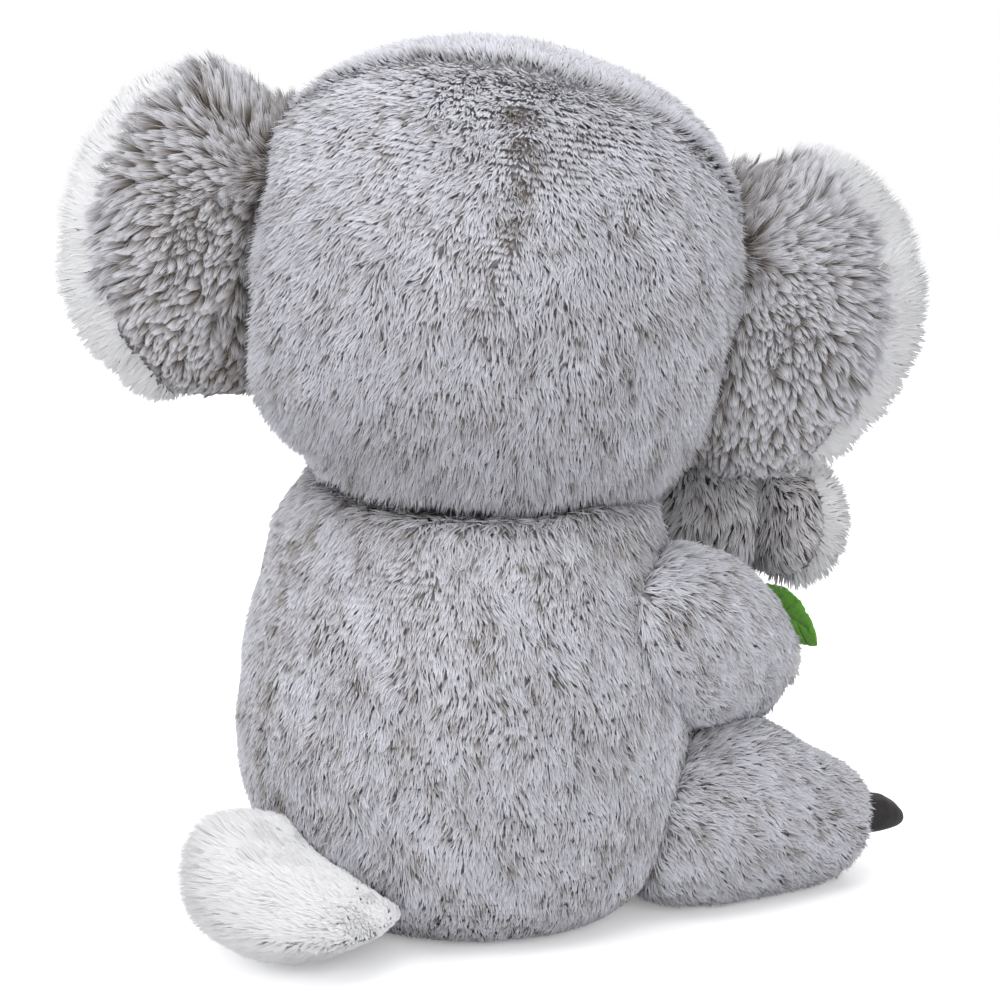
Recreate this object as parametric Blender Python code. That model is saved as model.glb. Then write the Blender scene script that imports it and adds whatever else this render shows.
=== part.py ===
"""A plush koala that sits with its baby in its lap, modelled as the pieces that it is sewn from.

Lengths are in metres and angles in degrees. The floor is z = 0, the koala's chest faces -Y, and its
own left side is +X. Forms are skins of rings, so the cloth, its stuffing and the room that a
neighbour leaves for it all come from the same rings, moved in or out along their normals.
"""

import math

import bmesh
import bpy
import numpy as np
from mathutils import Matrix, Vector

for item in list(bpy.data.objects):
    bpy.data.objects.remove(item, do_unlink=True)

# Cloth and clearances
CLOTH = 0.0025
SEAM_GAP = 0.0004
CUT_OVERRUN = 0.004

# Fineness of the skins, in points round a form
ROUND_BODY = 32
ROUND_HEAD = 32
ROUND_LIMB = 16
ROUND_BABY = 16
ROUND_SMALL = 8

# Body, from the floor to the top that the head is seated in. Shares of its height, half width and
# half depth, and how far each ring leans forward as a share of the half depth
BODY_HEIGHT = 0.160
BODY_HALF_WIDTH = 0.072
BODY_HALF_DEPTH = 0.068
BODY_SHARES = (
    (0.000, 0.620, 0.620, 0.000),
    (0.020, 0.750, 0.750, 0.000),
    (0.080, 0.875, 0.875, 0.000),
    (0.200, 0.955, 0.955, 0.000),
    (0.310, 0.985, 0.985, 0.000),
    (0.420, 1.000, 1.000, 0.000),
    (0.530, 0.990, 0.985, 0.000),
    (0.620, 0.965, 0.945, 0.010),
    (0.720, 0.905, 0.860, 0.020),
    (0.800, 0.860, 0.745, 0.035),
    (0.870, 0.795, 0.600, 0.050),
    (0.940, 0.690, 0.450, 0.070),
)
SEAT_RINGS = 3
BAG_RINGS = 5
BELLY_HALF_ANGLE = 54.0

# Head: an ellipsoid with full corners, turned to the koala's left and tilted to its right, that sinks
# into the body. An exponent of 2 is a true ellipsoid
HEAD_HALF_WIDTH = 0.0755
HEAD_HALF_DEPTH = 0.0720
HEAD_HALF_HEIGHT = 0.0765
HEAD_FULLNESS = 2.25
TRUE_ELLIPSOID = 2.0
HEAD_SINK = 0.0360
HEAD_FORWARD = 0.0034
HEAD_ASIDE = -0.0078
HEAD_TILT_ROOM = 0.0009
HEAD_TURNED = 41.0
HEAD_TILTED = 9.5
CROWN_SEAM_ANGLE = 35.0
CHIN_SEAM_ANGLE = 214.0
NECK_RADIUS = 0.024

# Muzzle, nose and eyes, placed by shares of the head's half sizes
MUZZLE_HALF_WIDTH = 0.030
MUZZLE_HALF_DEPTH = 0.020
MUZZLE_HALF_HEIGHT = 0.022
MUZZLE_PLACE_SHARES = (0.00, -0.88, -0.26)
NOSE_HALF_WIDTH = 0.0125
NOSE_HALF_DEPTH = 0.0090
NOSE_HALF_HEIGHT = 0.0165
NOSE_STANDS_OUT_SHARE = 0.93
NOSE_LIFT_SHARE = 0.55
EYE_RADIUS = 0.0065
EYE_DOME = 0.0050
EYE_SHANK_RADIUS = 0.0020
EYE_SHANK_LENGTH = 0.0110
EYE_SPREAD_ANGLE = 27.0
EYE_LIFT_ANGLE = 6.0
WASHER_RADIUS = 0.0070
WASHER_THICKNESS = 0.0014

# Ears: two pillow halves that meet in the ear's seam; the white front reaches past the grey back
EAR_BACK_HALF_WIDTH = 0.038
EAR_BACK_THICKNESS = 0.016
EAR_FRONT_HALF_WIDTH = 0.0435
EAR_FRONT_THICKNESS = 0.012
EAR_HALF_HEIGHT = 0.050
EAR_OUTREACH_SHARE = 0.60
EAR_SEAM_SHARE = 0.06
EAR_LIFT_SHARE = 0.02
EAR_DOME_SHARES = (0.28, 0.55, 0.78, 0.93, 1.0)

# Arms: from the shoulder seam round the side to a hand beside the baby
ARM_RADIUS = 0.0255
ARM_PATH_SHARES = ((0.74, 0.14, 0.62), (0.97, -0.62, 0.60), (0.66, -1.26, 0.42))
ARM_HINGE_ANGLE = 16.0
ARM_SHARES = (
    (0.03, 0.40), (0.10, 0.70), (0.21, 0.90), (0.36, 1.00), (0.52, 1.00), (0.66, 0.92),
    (0.79, 0.87), (0.90, 0.74), (0.97, 0.46),
)

# Legs: from the hip seam along the floor to an upturned foot
LEG_RADIUS = 0.0265
LEG_PATH_SHARES = ((0.66, -0.12, 1.06), (0.96, -0.90, 0.94), (1.17, -1.50, 0.80))
LEG_HINGE_ANGLE = 8.0
LEG_SHARES = (
    (0.03, 0.40), (0.10, 0.70), (0.21, 0.90), (0.36, 1.00), (0.54, 0.98), (0.70, 0.94),
    (0.83, 0.86), (0.92, 0.70), (0.975, 0.44),
)

# Claws: three horns of suede on each paw
CLAW_RADIUS = 0.0064
CLAW_LENGTH = 0.0285
CLAW_ROOT_DEPTH = 0.0150
CLAW_DROP_SHARE = 0.10
CLAW_SHARES = ((0.05, 0.90), (0.35, 1.00), (0.58, 0.92), (0.76, 0.68), (0.90, 0.38))

# Tail: a tuft on the floor behind the seat
TAIL_HALF_WIDTH = 0.0280
TAIL_HALF_HEIGHT = 0.0210
TAIL_LENGTH = 0.0600
TAIL_OFF_FLOOR = 0.0035
TAIL_ROOT_SHARE = 0.68
TAIL_SHARES = (
    (0.03, 0.42), (0.12, 0.66), (0.28, 0.86), (0.48, 1.00), (0.66, 0.98), (0.82, 0.80), (0.94, 0.48),
)
TAIL_PATH_SHARES = (0.0, 0.5, 1.0)

# Baby, from its seat to its neck, then its head
BABY_HEIGHT = 0.095
BABY_HALF_WIDTH = 0.0240
BABY_HALF_DEPTH = 0.0260
BABY_ASIDE = -0.019
BABY_FORWARD = 0.003
BABY_OFF_FLOOR = 0.0030
BABY_BODY_SHARES = (
    (0.00, 0.50, 0.50, 0.00),
    (0.05, 0.76, 0.76, 0.00),
    (0.18, 0.95, 0.95, 0.00),
    (0.36, 1.00, 1.00, 0.00),
    (0.56, 0.96, 0.96, 0.04),
    (0.74, 0.84, 0.84, 0.12),
    (0.88, 0.66, 0.66, 0.20),
    (0.97, 0.42, 0.42, 0.25),
)
BABY_HEAD_HALF_WIDTH = 0.0300
BABY_HEAD_HALF_DEPTH = 0.0270
BABY_HEAD_HALF_HEIGHT = 0.0270
BABY_HEAD_SINK = 0.0085
BABY_HEAD_FORWARD = 0.0080
BABY_NOSE_RADIUS = 0.0060
BABY_NOSE_PLACE_SHARES = (0.00, -0.96, -0.16)
BABY_EYE_RADIUS = 0.0035
BABY_EYE_DOME = 0.0026
BABY_EYE_SHANK_RADIUS = 0.0013
BABY_EYE_SHANK_LENGTH = 0.0060
BABY_EAR_BACK_HALF_WIDTH = 0.0165
BABY_EAR_BACK_THICKNESS = 0.0070
BABY_EAR_FRONT_HALF_WIDTH = 0.0185
BABY_EAR_FRONT_THICKNESS = 0.0055
BABY_EAR_HALF_HEIGHT = 0.0190
BABY_LIMB_RADIUS = 0.0090
BABY_ARM_PATH_SHARES = ((0.72, -0.30, 0.76), (1.10, -1.10, 0.66), (0.56, -1.34, 0.54))
BABY_LEG_PATH_SHARES = ((0.40, -0.40, 0.12), (0.80, -1.30, 0.13), (1.16, -2.10, 0.11))
BABY_LIMB_SHARES = (
    (0.04, 0.50), (0.14, 0.84), (0.32, 1.00), (0.55, 1.00), (0.76, 1.00), (0.90, 0.80), (0.97, 0.46),
)

# Leaf on its stem, held at the baby's hands; the path is in shares of the leaf's length
LEAF_LENGTH = 0.038
LEAF_HALF_WIDTH = 0.0105
LEAF_HALF_THICKNESS = 0.0020
LEAF_ROOT_SHARES = (0.0, -1.565, 0.75)
LEAF_PATH_SHARES = ((0.0, 0.0, 0.0), (-0.46, 0.02, 0.16), (-0.93, 0.14, -0.22))
LEAF_SHARES = (
    (0.04, 0.26), (0.14, 0.62), (0.30, 0.92), (0.48, 1.00), (0.66, 0.86), (0.82, 0.58), (0.93, 0.32),
)
STEM_RADIUS = 0.0018
STEM_LENGTH = 0.030
STEM_CLEARANCE = 0.0011
STEM_PATH_SHARES = ((0.03, 0.06, -1.0), (0.03, 0.0, -0.5), (0.0, 0.0, 0.0))
STEM_SHARES = ((0.02, 0.80), (0.20, 1.00), (0.50, 1.00), (0.80, 1.00), (0.98, 0.80))


# Materials
def finish(name, colour, roughness, metallic=0.0):
    material = bpy.data.materials.new(name)
    material.use_nodes = True
    shader = material.node_tree.nodes["Principled BSDF"]
    shader.inputs["Base Color"].default_value = (*colour, 1.0)
    shader.inputs["Roughness"].default_value = roughness
    shader.inputs["Metallic"].default_value = metallic
    material.diffuse_color = (*colour, 1.0)
    return material


GREY_FUR = finish("grey_fur", (0.40, 0.40, 0.44), 0.95)
EAR_FUR = finish("ear_fur", (0.27, 0.26, 0.28), 0.95)
BABY_FUR = finish("baby_fur", (0.17, 0.165, 0.18), 0.95)
WHITE_FUR = finish("white_fur", (0.74, 0.74, 0.76), 0.95)
DARK_SUEDE = finish("dark_suede", (0.022, 0.017, 0.016), 0.75)
EYE_PLASTIC = finish("eye_plastic", (0.006, 0.005, 0.005), 0.12)
WASHER_PLASTIC = finish("washer_plastic", (0.60, 0.60, 0.58), 0.45)
FILLING = finish("polyester_filling", (0.80, 0.80, 0.78), 0.90)
BAG_CLOTH = finish("bag_cloth", (0.62, 0.58, 0.50), 0.85)
LEAF_CLOTH = finish("leaf_velboa", (0.10, 0.38, 0.05), 0.85)


# Skins: a form is its rings of points and the two points that close its ends
def length_of(vectors):
    return np.linalg.norm(vectors, axis=-1, keepdims=True)


def moved(form, distance):
    """The form with its skin moved out along its normals, or in where the distance is negative."""
    rings, start, end = form
    count = rings.shape[1]
    ends = [np.repeat(point[None, None], count, 1) for point in (start, end)]
    rows = np.concatenate([ends[0], rings, ends[1]])
    along = rows[2:] - rows[:-2]
    around = np.roll(rings, -1, axis=1) - np.roll(rings, 1, axis=1)
    normals = np.cross(around, along)
    normals = normals / length_of(normals)
    centres = rings.mean(axis=1)
    outward = ((rings - centres[:, None]) * normals).sum()
    normals = normals * math.copysign(1, outward)
    first = centres[0] - centres[1]
    last = centres[-1] - centres[-2]
    return (
        rings + normals * distance,
        start + first / length_of(first) * distance,
        end + last / length_of(last) * distance,
    )


def coarse(form):
    """The form with every second point of its rings."""
    return form[0][:, ::2], form[1], form[2]


def on_floor(form, floor):
    """The form pressed flat where it would reach below the given height."""
    pressed = [np.array(points) for points in form]
    for points in pressed:
        points[..., 2] = np.maximum(points[..., 2], floor)
    return tuple(pressed)


def mesh_object(name, points, faces, material):
    mesh = bpy.data.meshes.new(name)
    mesh.from_pydata([tuple(point) for point in points], [], faces)
    work = bmesh.new()
    work.from_mesh(mesh)
    bmesh.ops.recalc_face_normals(work, faces=work.faces)
    work.to_mesh(mesh)
    work.free()
    mesh.shade_smooth()
    mesh.set_sharp_from_angle(angle=math.radians(50))
    mesh.materials.append(material)
    obj = bpy.data.objects.new(name, mesh)
    bpy.context.scene.collection.objects.link(obj)
    return obj


def ring_faces(rows, count):
    """The quads between rings that lie one after another in a list of points."""
    faces = []
    for row in range(rows - 1):
        for k in range(count):
            after = (k + 1) % count
            this, above = row * count, (row + 1) * count
            faces.append((this + k, this + after, above + after, above + k))
    return faces


def solid(name, form, material):
    """A closed body through the form's rings, with a fan at each end."""
    rings, start, end = form
    rows, count = rings.shape[:2]
    points = [*rings.reshape(-1, 3), start, end]
    faces = ring_faces(rows, count)
    for k in range(count):
        after = (k + 1) % count
        faces.append((rows * count, k, after))
        faces.append((rows * count + 1, (rows - 1) * count + after, (rows - 1) * count + k))
    return mesh_object(name, points, faces, material)


def cup(name, outer, inner, material):
    """A cover with its wall, open at the start of its form."""
    rings = np.concatenate([outer[0][::-1], inner[0]])
    return solid(name, (rings, outer[2], inner[2]), material)


def panel(name, outer, inner, material):
    """A piece of cloth between an outer and an inner grid of points."""
    rows, count = outer.shape[:2]
    points = [*outer.reshape(-1, 3), *inner.reshape(-1, 3)]
    under = rows * count
    faces = []
    for row in range(rows - 1):
        for k in range(count - 1):
            this, above = row * count + k, (row + 1) * count + k
            corners = (this, this + 1, above + 1, above)
            faces.append(corners)
            faces.append(tuple(under + corner for corner in reversed(corners)))
    edge = list(range(count))
    edge += [row * count + count - 1 for row in range(1, rows)]
    edge += [(rows - 1) * count + k for k in range(count - 2, -1, -1)]
    edge += [row * count for row in range(rows - 2, 0, -1)]
    for a, b in zip(edge, edge[1:] + edge[:1]):
        faces.append((a, b, under + b, under + a))
    return mesh_object(name, points, faces, material)


def pivot(name, place, parent=None, turn=None):
    empty = bpy.data.objects.new(name, None)
    bpy.context.scene.collection.objects.link(empty)
    empty.parent = parent
    empty.location = place
    if turn:
        empty.rotation_euler = turn
    return empty


def hang(obj, joint):
    """Puts an object under a joint's empty, with its origin on the joint's axis."""
    obj.data.transform(Matrix.Translation(-Vector(joint.location)))
    obj.parent = joint
    return obj


def cutter(obj):
    obj.hide_render = True
    obj.display_type = "WIRE"
    return obj


def cut(obj, *cutters):
    for tool in cutters:
        boolean = obj.modifiers.new("cut_" + tool.name, "BOOLEAN")
        boolean.operation = "DIFFERENCE"
        boolean.solver = "EXACT"
        boolean.object = tool
    return obj


# Forms
def circle(count):
    """The angles of a ring's points."""
    return np.radians(np.linspace(0, 360, count + 1)[:-1])


def upright_form(shares, height, half_width, half_depth, place, count):
    """Level ellipses stacked from the place upwards, each leaning forward by its last share."""
    angles = circle(count)
    unit = np.stack([np.cos(angles) * half_width, np.sin(angles) * half_depth, np.zeros(count)], axis=-1)
    rings = np.array([
        unit * (wide, deep, 0) + (0, -half_depth * forward, share * height)
        for share, wide, deep, forward in shares
    ])
    top = np.array([0, -half_depth * shares[-1][-1], height])
    return rings + place, np.array(place, float), top + place


def ellipsoid_form(half_sizes, place, rows, count, pole_axis=0, fullness=TRUE_ELLIPSOID):
    """An ellipsoid with its poles on X, or on Z where the pole's axis is 2."""
    angles = circle(count)
    rings = []
    for lat in np.radians(np.linspace(-90, 90, rows + 2)[1:-1]):
        across = math.copysign(abs(math.sin(lat)) ** (2 / fullness), lat)
        girth = math.cos(lat) ** (2 / fullness)
        rings.append(np.stack([
            np.full(count, across), -np.sin(angles) * girth, np.cos(angles) * girth,
        ], axis=-1))
    rings = np.array(rings)
    pole = np.roll([1.0, 0, 0], pole_axis)
    rings = np.roll(rings, pole_axis, axis=-1)
    half_sizes = np.array(half_sizes)
    return rings * half_sizes + place, -pole * half_sizes + place, pole * half_sizes + place


def path_frame(path, share):
    """The point of a curve through three guiding points, its direction, and the side and up vectors."""
    a, b, c = [np.array(point, float) for point in path]
    point = (1 - share) ** 2 * a + 2 * share * (1 - share) * b + share ** 2 * c
    along = 2 * (1 - share) * (b - a) + 2 * share * (c - b)
    along = along / np.linalg.norm(along)
    side = np.cross(along, (0, 0, 1))
    side = side / np.linalg.norm(side)
    return point, along, side, np.cross(side, along)


def limb_form(path, shares, half_width, half_height, count):
    """Rings square to a curved path, which swell and taper by the shares."""
    angles = circle(count)
    rings = []
    for share, girth in shares:
        point, _, side, up = path_frame(path, share)
        ring = np.outer(np.cos(angles), side) * half_width + np.outer(np.sin(angles), up) * half_height
        rings.append(point + ring * girth)
    return np.array(rings), np.array(path[0], float), np.array(path[2], float)


def lathe_form(profile, place, along, count):
    """Rings round an axis, from pairs of the distance along it and the radius there."""
    axis = Vector(along).normalized()
    turn = np.array(axis.to_track_quat("Z", "Y").to_matrix())
    angles = circle(count)
    rings = []
    for distance, radius in profile:
        ring = np.stack([np.cos(angles) * radius, np.sin(angles) * radius, np.full(count, distance)], axis=-1)
        rings.append(ring @ turn.T + place)
    ends = [np.array(axis) * profile[k][0] + place for k in (0, -1)]
    return np.array(rings), ends[0], ends[1]


def scaled(shares, sizes, place=(0, 0, 0)):
    return [tuple(s * size + at for s, size, at in zip(row, sizes, place)) for row in shares]


# Body panels, seat panel, stuffing and pellet bag
body = upright_form(BODY_SHARES, BODY_HEIGHT, BODY_HALF_WIDTH, BODY_HALF_DEPTH, (0, 0, 0), ROUND_BODY)
body_inside = moved(body, -CLOTH)
body_room = cutter(solid("body_room", moved(body, SEAM_GAP), GREY_FUR))
HEAD_CENTRE = (HEAD_ASIDE, -HEAD_FORWARD, BODY_HEIGHT + HEAD_HALF_HEIGHT - HEAD_SINK)
head_reach = max(HEAD_HALF_WIDTH, HEAD_HALF_DEPTH, HEAD_HALF_HEIGHT) + SEAM_GAP * 2 + HEAD_TILT_ROOM
head_room = cutter(solid(
    "head_room",
    ellipsoid_form((head_reach,) * 3, HEAD_CENTRE, ROUND_HEAD // 2, ROUND_HEAD, 2, HEAD_FULLNESS),
    GREY_FUR,
))


def arc_points(rings, first, last):
    """The part of each closed ring between two angles, with points at both ends."""
    count = rings.shape[1]
    steps = np.arange(math.floor(first * count / 360) + 1, math.ceil(last * count / 360))
    places = np.concatenate([[first * count / 360], steps, [last * count / 360]])
    below = np.floor(places).astype(int)
    rest = (places - below)[None, :, None]
    return rings[:, below % count] * (1 - rest) + rings[:, (below + 1) % count] * rest


BODY_SEAM_ANGLE = math.degrees(SEAM_GAP / 2 / BODY_HALF_DEPTH / BODY_SHARES[-1][2])
belly_start = 270.0 - BELLY_HALF_ANGLE
belly_end = 270.0 + BELLY_HALF_ANGLE
body_panels = (
    ("body_back_left", belly_end - 360.0, 90.0, GREY_FUR),
    ("body_back_right", 90.0, belly_start, GREY_FUR),
    ("belly_panel", belly_start, belly_end, WHITE_FUR),
)
panel_rows = slice(SEAT_RINGS, None)
lifted = (0, 0, SEAM_GAP)
for name, first, last, fur in body_panels:
    first += BODY_SEAM_ANGLE
    last -= BODY_SEAM_ANGLE
    outer = arc_points(body[0][panel_rows], first, last) + lifted
    inner = arc_points(body_inside[0][panel_rows], first, last) + lifted
    cut(panel(name, outer, inner, fur), head_room)

seat_outer = (body[0][SEAT_RINGS::-1], None, body[1])
seat_inner = (body_inside[0][SEAT_RINGS::-1], None, body_inside[1])
cup("seat_panel", seat_outer, seat_inner, GREY_FUR)

filling = moved(body, -CLOTH - SEAM_GAP)
bag_top = filling[0][BAG_RINGS - 1].mean(axis=0)
solid("pellet_bag", (filling[0][:BAG_RINGS], filling[1], bag_top), BAG_CLOTH)
upper_rings = np.concatenate([filling[0][BAG_RINGS - 1:BAG_RINGS] + lifted, filling[0][BAG_RINGS:]])
body_filling = coarse((upper_rings, bag_top + lifted, filling[2]))
cut(solid("body_stuffing", body_filling, FILLING), head_room)

# Head: everything in the head's own frame, under an empty that turns and tilts it
head_joint = pivot("head_turn", HEAD_CENTRE, turn=(0, math.radians(-HEAD_TILTED), math.radians(HEAD_TURNED)))
HEAD_HALF_SIZES = (HEAD_HALF_WIDTH, HEAD_HALF_DEPTH, HEAD_HALF_HEIGHT)
head = ellipsoid_form(HEAD_HALF_SIZES, (0, 0, 0), ROUND_HEAD // 2 - 1, ROUND_HEAD, 0, HEAD_FULLNESS)
head_inside = moved(head, -CLOTH)


def under(obj, joint):
    """Puts an object made in the joint's own frame under the joint's empty."""
    obj.parent = joint
    return obj


neck_hole = cutter(solid(
    "neck_hole",
    lathe_form(
        ((-HEAD_HALF_HEIGHT - CUT_OVERRUN, NECK_RADIUS), (-HEAD_HALF_HEIGHT / 2, NECK_RADIUS)),
        HEAD_CENTRE, (0, 0, 1), ROUND_LIMB,
    ),
    GREY_FUR,
))
middle_row = head[0].shape[0] // 2
head_seam_angle = math.degrees(SEAM_GAP / HEAD_HALF_HEIGHT)
aside = (SEAM_GAP / 2, 0, 0)
seam_rows = {
    "head_back_left": (slice(middle_row, -1), aside),
    "head_back_right": (slice(1, middle_row + 1), tuple(-value for value in aside)),
}
chin_angle = 360.0 - CHIN_SEAM_ANGLE
for name, (rows, shift) in seam_rows.items():
    grids = [
        arc_points(form[0][rows], chin_angle, 360.0 - CROWN_SEAM_ANGLE) + shift
        for form in (head, head_inside)
    ]
    under(cut(panel(name, *grids, GREY_FUR), neck_hole), head_joint)
grids = [
    arc_points(form[0][1:-1], head_seam_angle - CROWN_SEAM_ANGLE, chin_angle - head_seam_angle)
    for form in (head, head_inside)
]
face_panel = under(cut(panel("face_panel", *grids, GREY_FUR), neck_hole), head_joint)
head_filling = moved(head, -CLOTH - SEAM_GAP)
head_filling = coarse((head_filling[0][::2], head_filling[1], head_filling[2]))
head_stuffing = under(solid("head_stuffing", head_filling, FILLING), head_joint)
head_skin_room = under(cutter(solid("head_skin_room", moved(head, SEAM_GAP), GREY_FUR)), head_joint)


# Muzzle and nose
def blob(name, half_sizes, place, material, count):
    return solid(name, ellipsoid_form(half_sizes, place, count // 2 - 1, count), material)


muzzle_sizes = (MUZZLE_HALF_WIDTH, MUZZLE_HALF_DEPTH, MUZZLE_HALF_HEIGHT)
muzzle_place = scaled((MUZZLE_PLACE_SHARES,), HEAD_HALF_SIZES)[0]
muzzle = blob("muzzle_panel", muzzle_sizes, muzzle_place, WHITE_FUR, ROUND_LIMB)
under(cut(muzzle, head_skin_room), head_joint)
muzzle_form = ellipsoid_form(muzzle_sizes, muzzle_place, ROUND_LIMB // 2 - 1, ROUND_LIMB)
muzzle_room = under(cutter(solid("muzzle_room", moved(muzzle_form, SEAM_GAP), WHITE_FUR)), head_joint)
nose_place = (
    0.0,
    muzzle_place[1] - MUZZLE_HALF_DEPTH * NOSE_STANDS_OUT_SHARE,
    muzzle_place[2] + MUZZLE_HALF_HEIGHT * NOSE_LIFT_SHARE,
)
nose = blob("nose", (NOSE_HALF_WIDTH, NOSE_HALF_DEPTH, NOSE_HALF_HEIGHT), nose_place, DARK_SUEDE, ROUND_LIMB)
under(cut(nose, muzzle_room, head_skin_room), head_joint)


# Eyes: a dome outside the cloth, a shank through it and, on the koala, a washer that locks it inside
def surface_point(half_sizes, spread, lift, fullness):
    """The point of a form in a direction from its middle, and the way that its skin faces there."""
    turn, rise = math.radians(spread), math.radians(lift)
    ray = np.array([math.sin(turn) * math.cos(rise), -math.cos(turn) * math.cos(rise), math.sin(rise)])
    shares = ray / half_sizes
    ring = math.hypot(shares[1], shares[2])
    reach = (abs(shares[0]) ** fullness + ring ** fullness) ** (-1 / fullness)
    slope = shares / half_sizes
    slope[0] *= abs(shares[0]) ** (fullness - 2)
    slope[1:] *= ring ** (fullness - 2)
    return ray * reach, slope / np.linalg.norm(slope)


def eye_profile(radius, dome, shank_radius, shank_length):
    """From the dome's crown back to the end of the shank."""
    crown = [
        (dome * math.cos(angle), radius * math.sin(angle)) for angle in np.radians((25, 50, 72, 90))
    ]
    return [(distance + SEAM_GAP, wide) for distance, wide in crown] + [
        (SEAM_GAP, shank_radius), (-shank_length, shank_radius)
    ]


for side_name, side in (("left", 1), ("right", -1)):
    spread = EYE_SPREAD_ANGLE * side
    place, facing = surface_point(HEAD_HALF_SIZES, spread, EYE_LIFT_ANGLE, HEAD_FULLNESS)
    profile = eye_profile(EYE_RADIUS, EYE_DOME, EYE_SHANK_RADIUS, EYE_SHANK_LENGTH)
    eye = solid("eye_" + side_name, lathe_form(profile, place, facing, ROUND_LIMB), EYE_PLASTIC)
    under(eye, head_joint)
    wide = EYE_SHANK_RADIUS + SEAM_GAP
    hole = ((CUT_OVERRUN, wide), (-EYE_SHANK_LENGTH - SEAM_GAP, wide))
    shank_hole = solid("shank_hole_" + side_name, lathe_form(hole, place, facing, ROUND_LIMB), EYE_PLASTIC)
    cut(face_panel, under(cutter(shank_hole), head_joint))
    cut(head_stuffing, shank_hole)
    washer_top = -CLOTH - SEAM_GAP - WASHER_RADIUS ** 2 / HEAD_HALF_DEPTH
    washer_end = washer_top - WASHER_THICKNESS
    rim = ((washer_top, WASHER_RADIUS), (washer_end, WASHER_RADIUS))
    washer = solid("eye_washer_" + side_name, lathe_form(rim, place, facing, ROUND_LIMB), WASHER_PLASTIC)
    under(cut(washer, shank_hole), head_joint)
    wide = WASHER_RADIUS + SEAM_GAP
    room = ((CUT_OVERRUN - CLOTH, wide), (washer_end - SEAM_GAP, wide))
    washer_form = lathe_form(room, place, facing, ROUND_LIMB)
    washer_room = under(cutter(solid("washer_room_" + side_name, washer_form, WASHER_PLASTIC)), head_joint)
    cut(head_stuffing, washer_room)


# Ears: both halves hang on a hinge at the front edge of the ear's root
def ear_half(name, half_sizes, centre, facing, count, material):
    """Half a pillow: a dome on its facing side and flat at the seam."""
    half_width, thickness, half_height = half_sizes
    angles = circle(count)
    rings = []
    for share in EAR_DOME_SHARES:
        rise = thickness * math.sqrt(1 - share ** 2)
        ring = np.stack([
            np.cos(angles) * half_width * share,
            np.full(count, facing * (rise + SEAM_GAP / 2)),
            np.sin(angles) * half_height * share,
        ], axis=-1)
        rings.append(ring + centre)
    crown = np.array(centre) + (0, facing * (thickness + SEAM_GAP / 2), 0)
    seam = np.array(centre) + (0, facing * SEAM_GAP / 2, 0)
    return solid(name, (np.array(rings), crown, seam), material)


def ear_pair(prefix, joint, head_sizes, fullness, back_sizes, front_sizes, room, count, back_fur):
    """Both ears of a head. Each half's sizes are its half width, its thickness and its half height."""
    seam_y = -head_sizes[1] * EAR_SEAM_SHARE
    middle_z = head_sizes[2] * EAR_LIFT_SHARE
    hinge_y = seam_y - front_sizes[1]
    hinge_x = head_sizes[0] * (1 - abs(hinge_y / head_sizes[1]) ** fullness) ** (1 / fullness)
    rim_x = head_sizes[0] + back_sizes[0] * 2 * EAR_OUTREACH_SHARE
    middle_x = rim_x - back_sizes[0]
    extra = front_sizes[0] - back_sizes[0]
    for side_name, side in (("left", 1), ("right", -1)):
        hinge = pivot(prefix + "ear_" + side_name + "_fold", (side * hinge_x, hinge_y, middle_z), joint)
        centre = (side * middle_x, seam_y, middle_z)
        back = ear_half(prefix + "ear_back_" + side_name, back_sizes, centre, 1, count, back_fur)
        hang(cut(back, room), hinge)
        centre = (side * (middle_x + extra), seam_y, middle_z)
        front = ear_half(prefix + "ear_front_" + side_name, front_sizes, centre, -1, count, WHITE_FUR)
        hang(cut(front, room), hinge)


ear_pair(
    "", head_joint, HEAD_HALF_SIZES, HEAD_FULLNESS,
    (EAR_BACK_HALF_WIDTH, EAR_BACK_THICKNESS, EAR_HALF_HEIGHT),
    (EAR_FRONT_HALF_WIDTH, EAR_FRONT_THICKNESS, EAR_HALF_HEIGHT),
    head_skin_room, ROUND_LIMB, EAR_FUR,
)


# Claws: horns of suede in a row across the end of a paw
def claws(prefix, path, room, joint):
    """Three horns that lie side by side and stand out of the end of the limb's path."""
    horns = []
    tip, along, side, up = path_frame(path, 1.0)
    for number in (1, 2, 3):
        aside = side * (CLAW_RADIUS + SEAM_GAP) * 2 * (number - 2)
        root = tip - along * CLAW_ROOT_DEPTH + aside
        end = root + along * CLAW_LENGTH
        drop = up * CLAW_LENGTH * CLAW_DROP_SHARE
        bend = root + along * CLAW_LENGTH / 2 + drop
        form = limb_form((root, bend, end - drop), CLAW_SHARES, CLAW_RADIUS, CLAW_RADIUS, ROUND_SMALL)
        horns.append(hang(cut(solid(prefix + str(number), form, DARK_SUEDE), room), joint))
    return horns


# Arms and legs: a cover that is open at its seam, its stuffing, and the claws
def limb(kind, side_name, path, shares, radius, floor, hinge):
    """A limb and its claws, hung on an upright hinge, and the room that it takes up."""
    joint = pivot(kind + "_" + side_name + "_swing", hinge)
    form = limb_form(path, shares, radius, radius, ROUND_LIMB)
    skins = []
    for depth in (0.0, CLOTH, CLOTH + SEAM_GAP):
        skin = moved(form, -depth)
        skins.append(on_floor(skin, depth) if floor else skin)
    cover = cup(kind + "_cover_" + side_name, skins[0], skins[1], GREY_FUR)
    hang(cut(cover, body_room), joint)
    stuffing = solid(kind + "_stuffing_" + side_name, coarse(skins[2]), FILLING)
    hang(cut(stuffing, body_room), joint)
    room = hang(cutter(solid(kind + "_room_" + side_name, moved(form, SEAM_GAP), GREY_FUR)), joint)
    paw = {"arm": "hand", "leg": "foot"}[kind]
    return room, claws(paw + "_claw_" + side_name + "_", path, room, joint)


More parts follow.
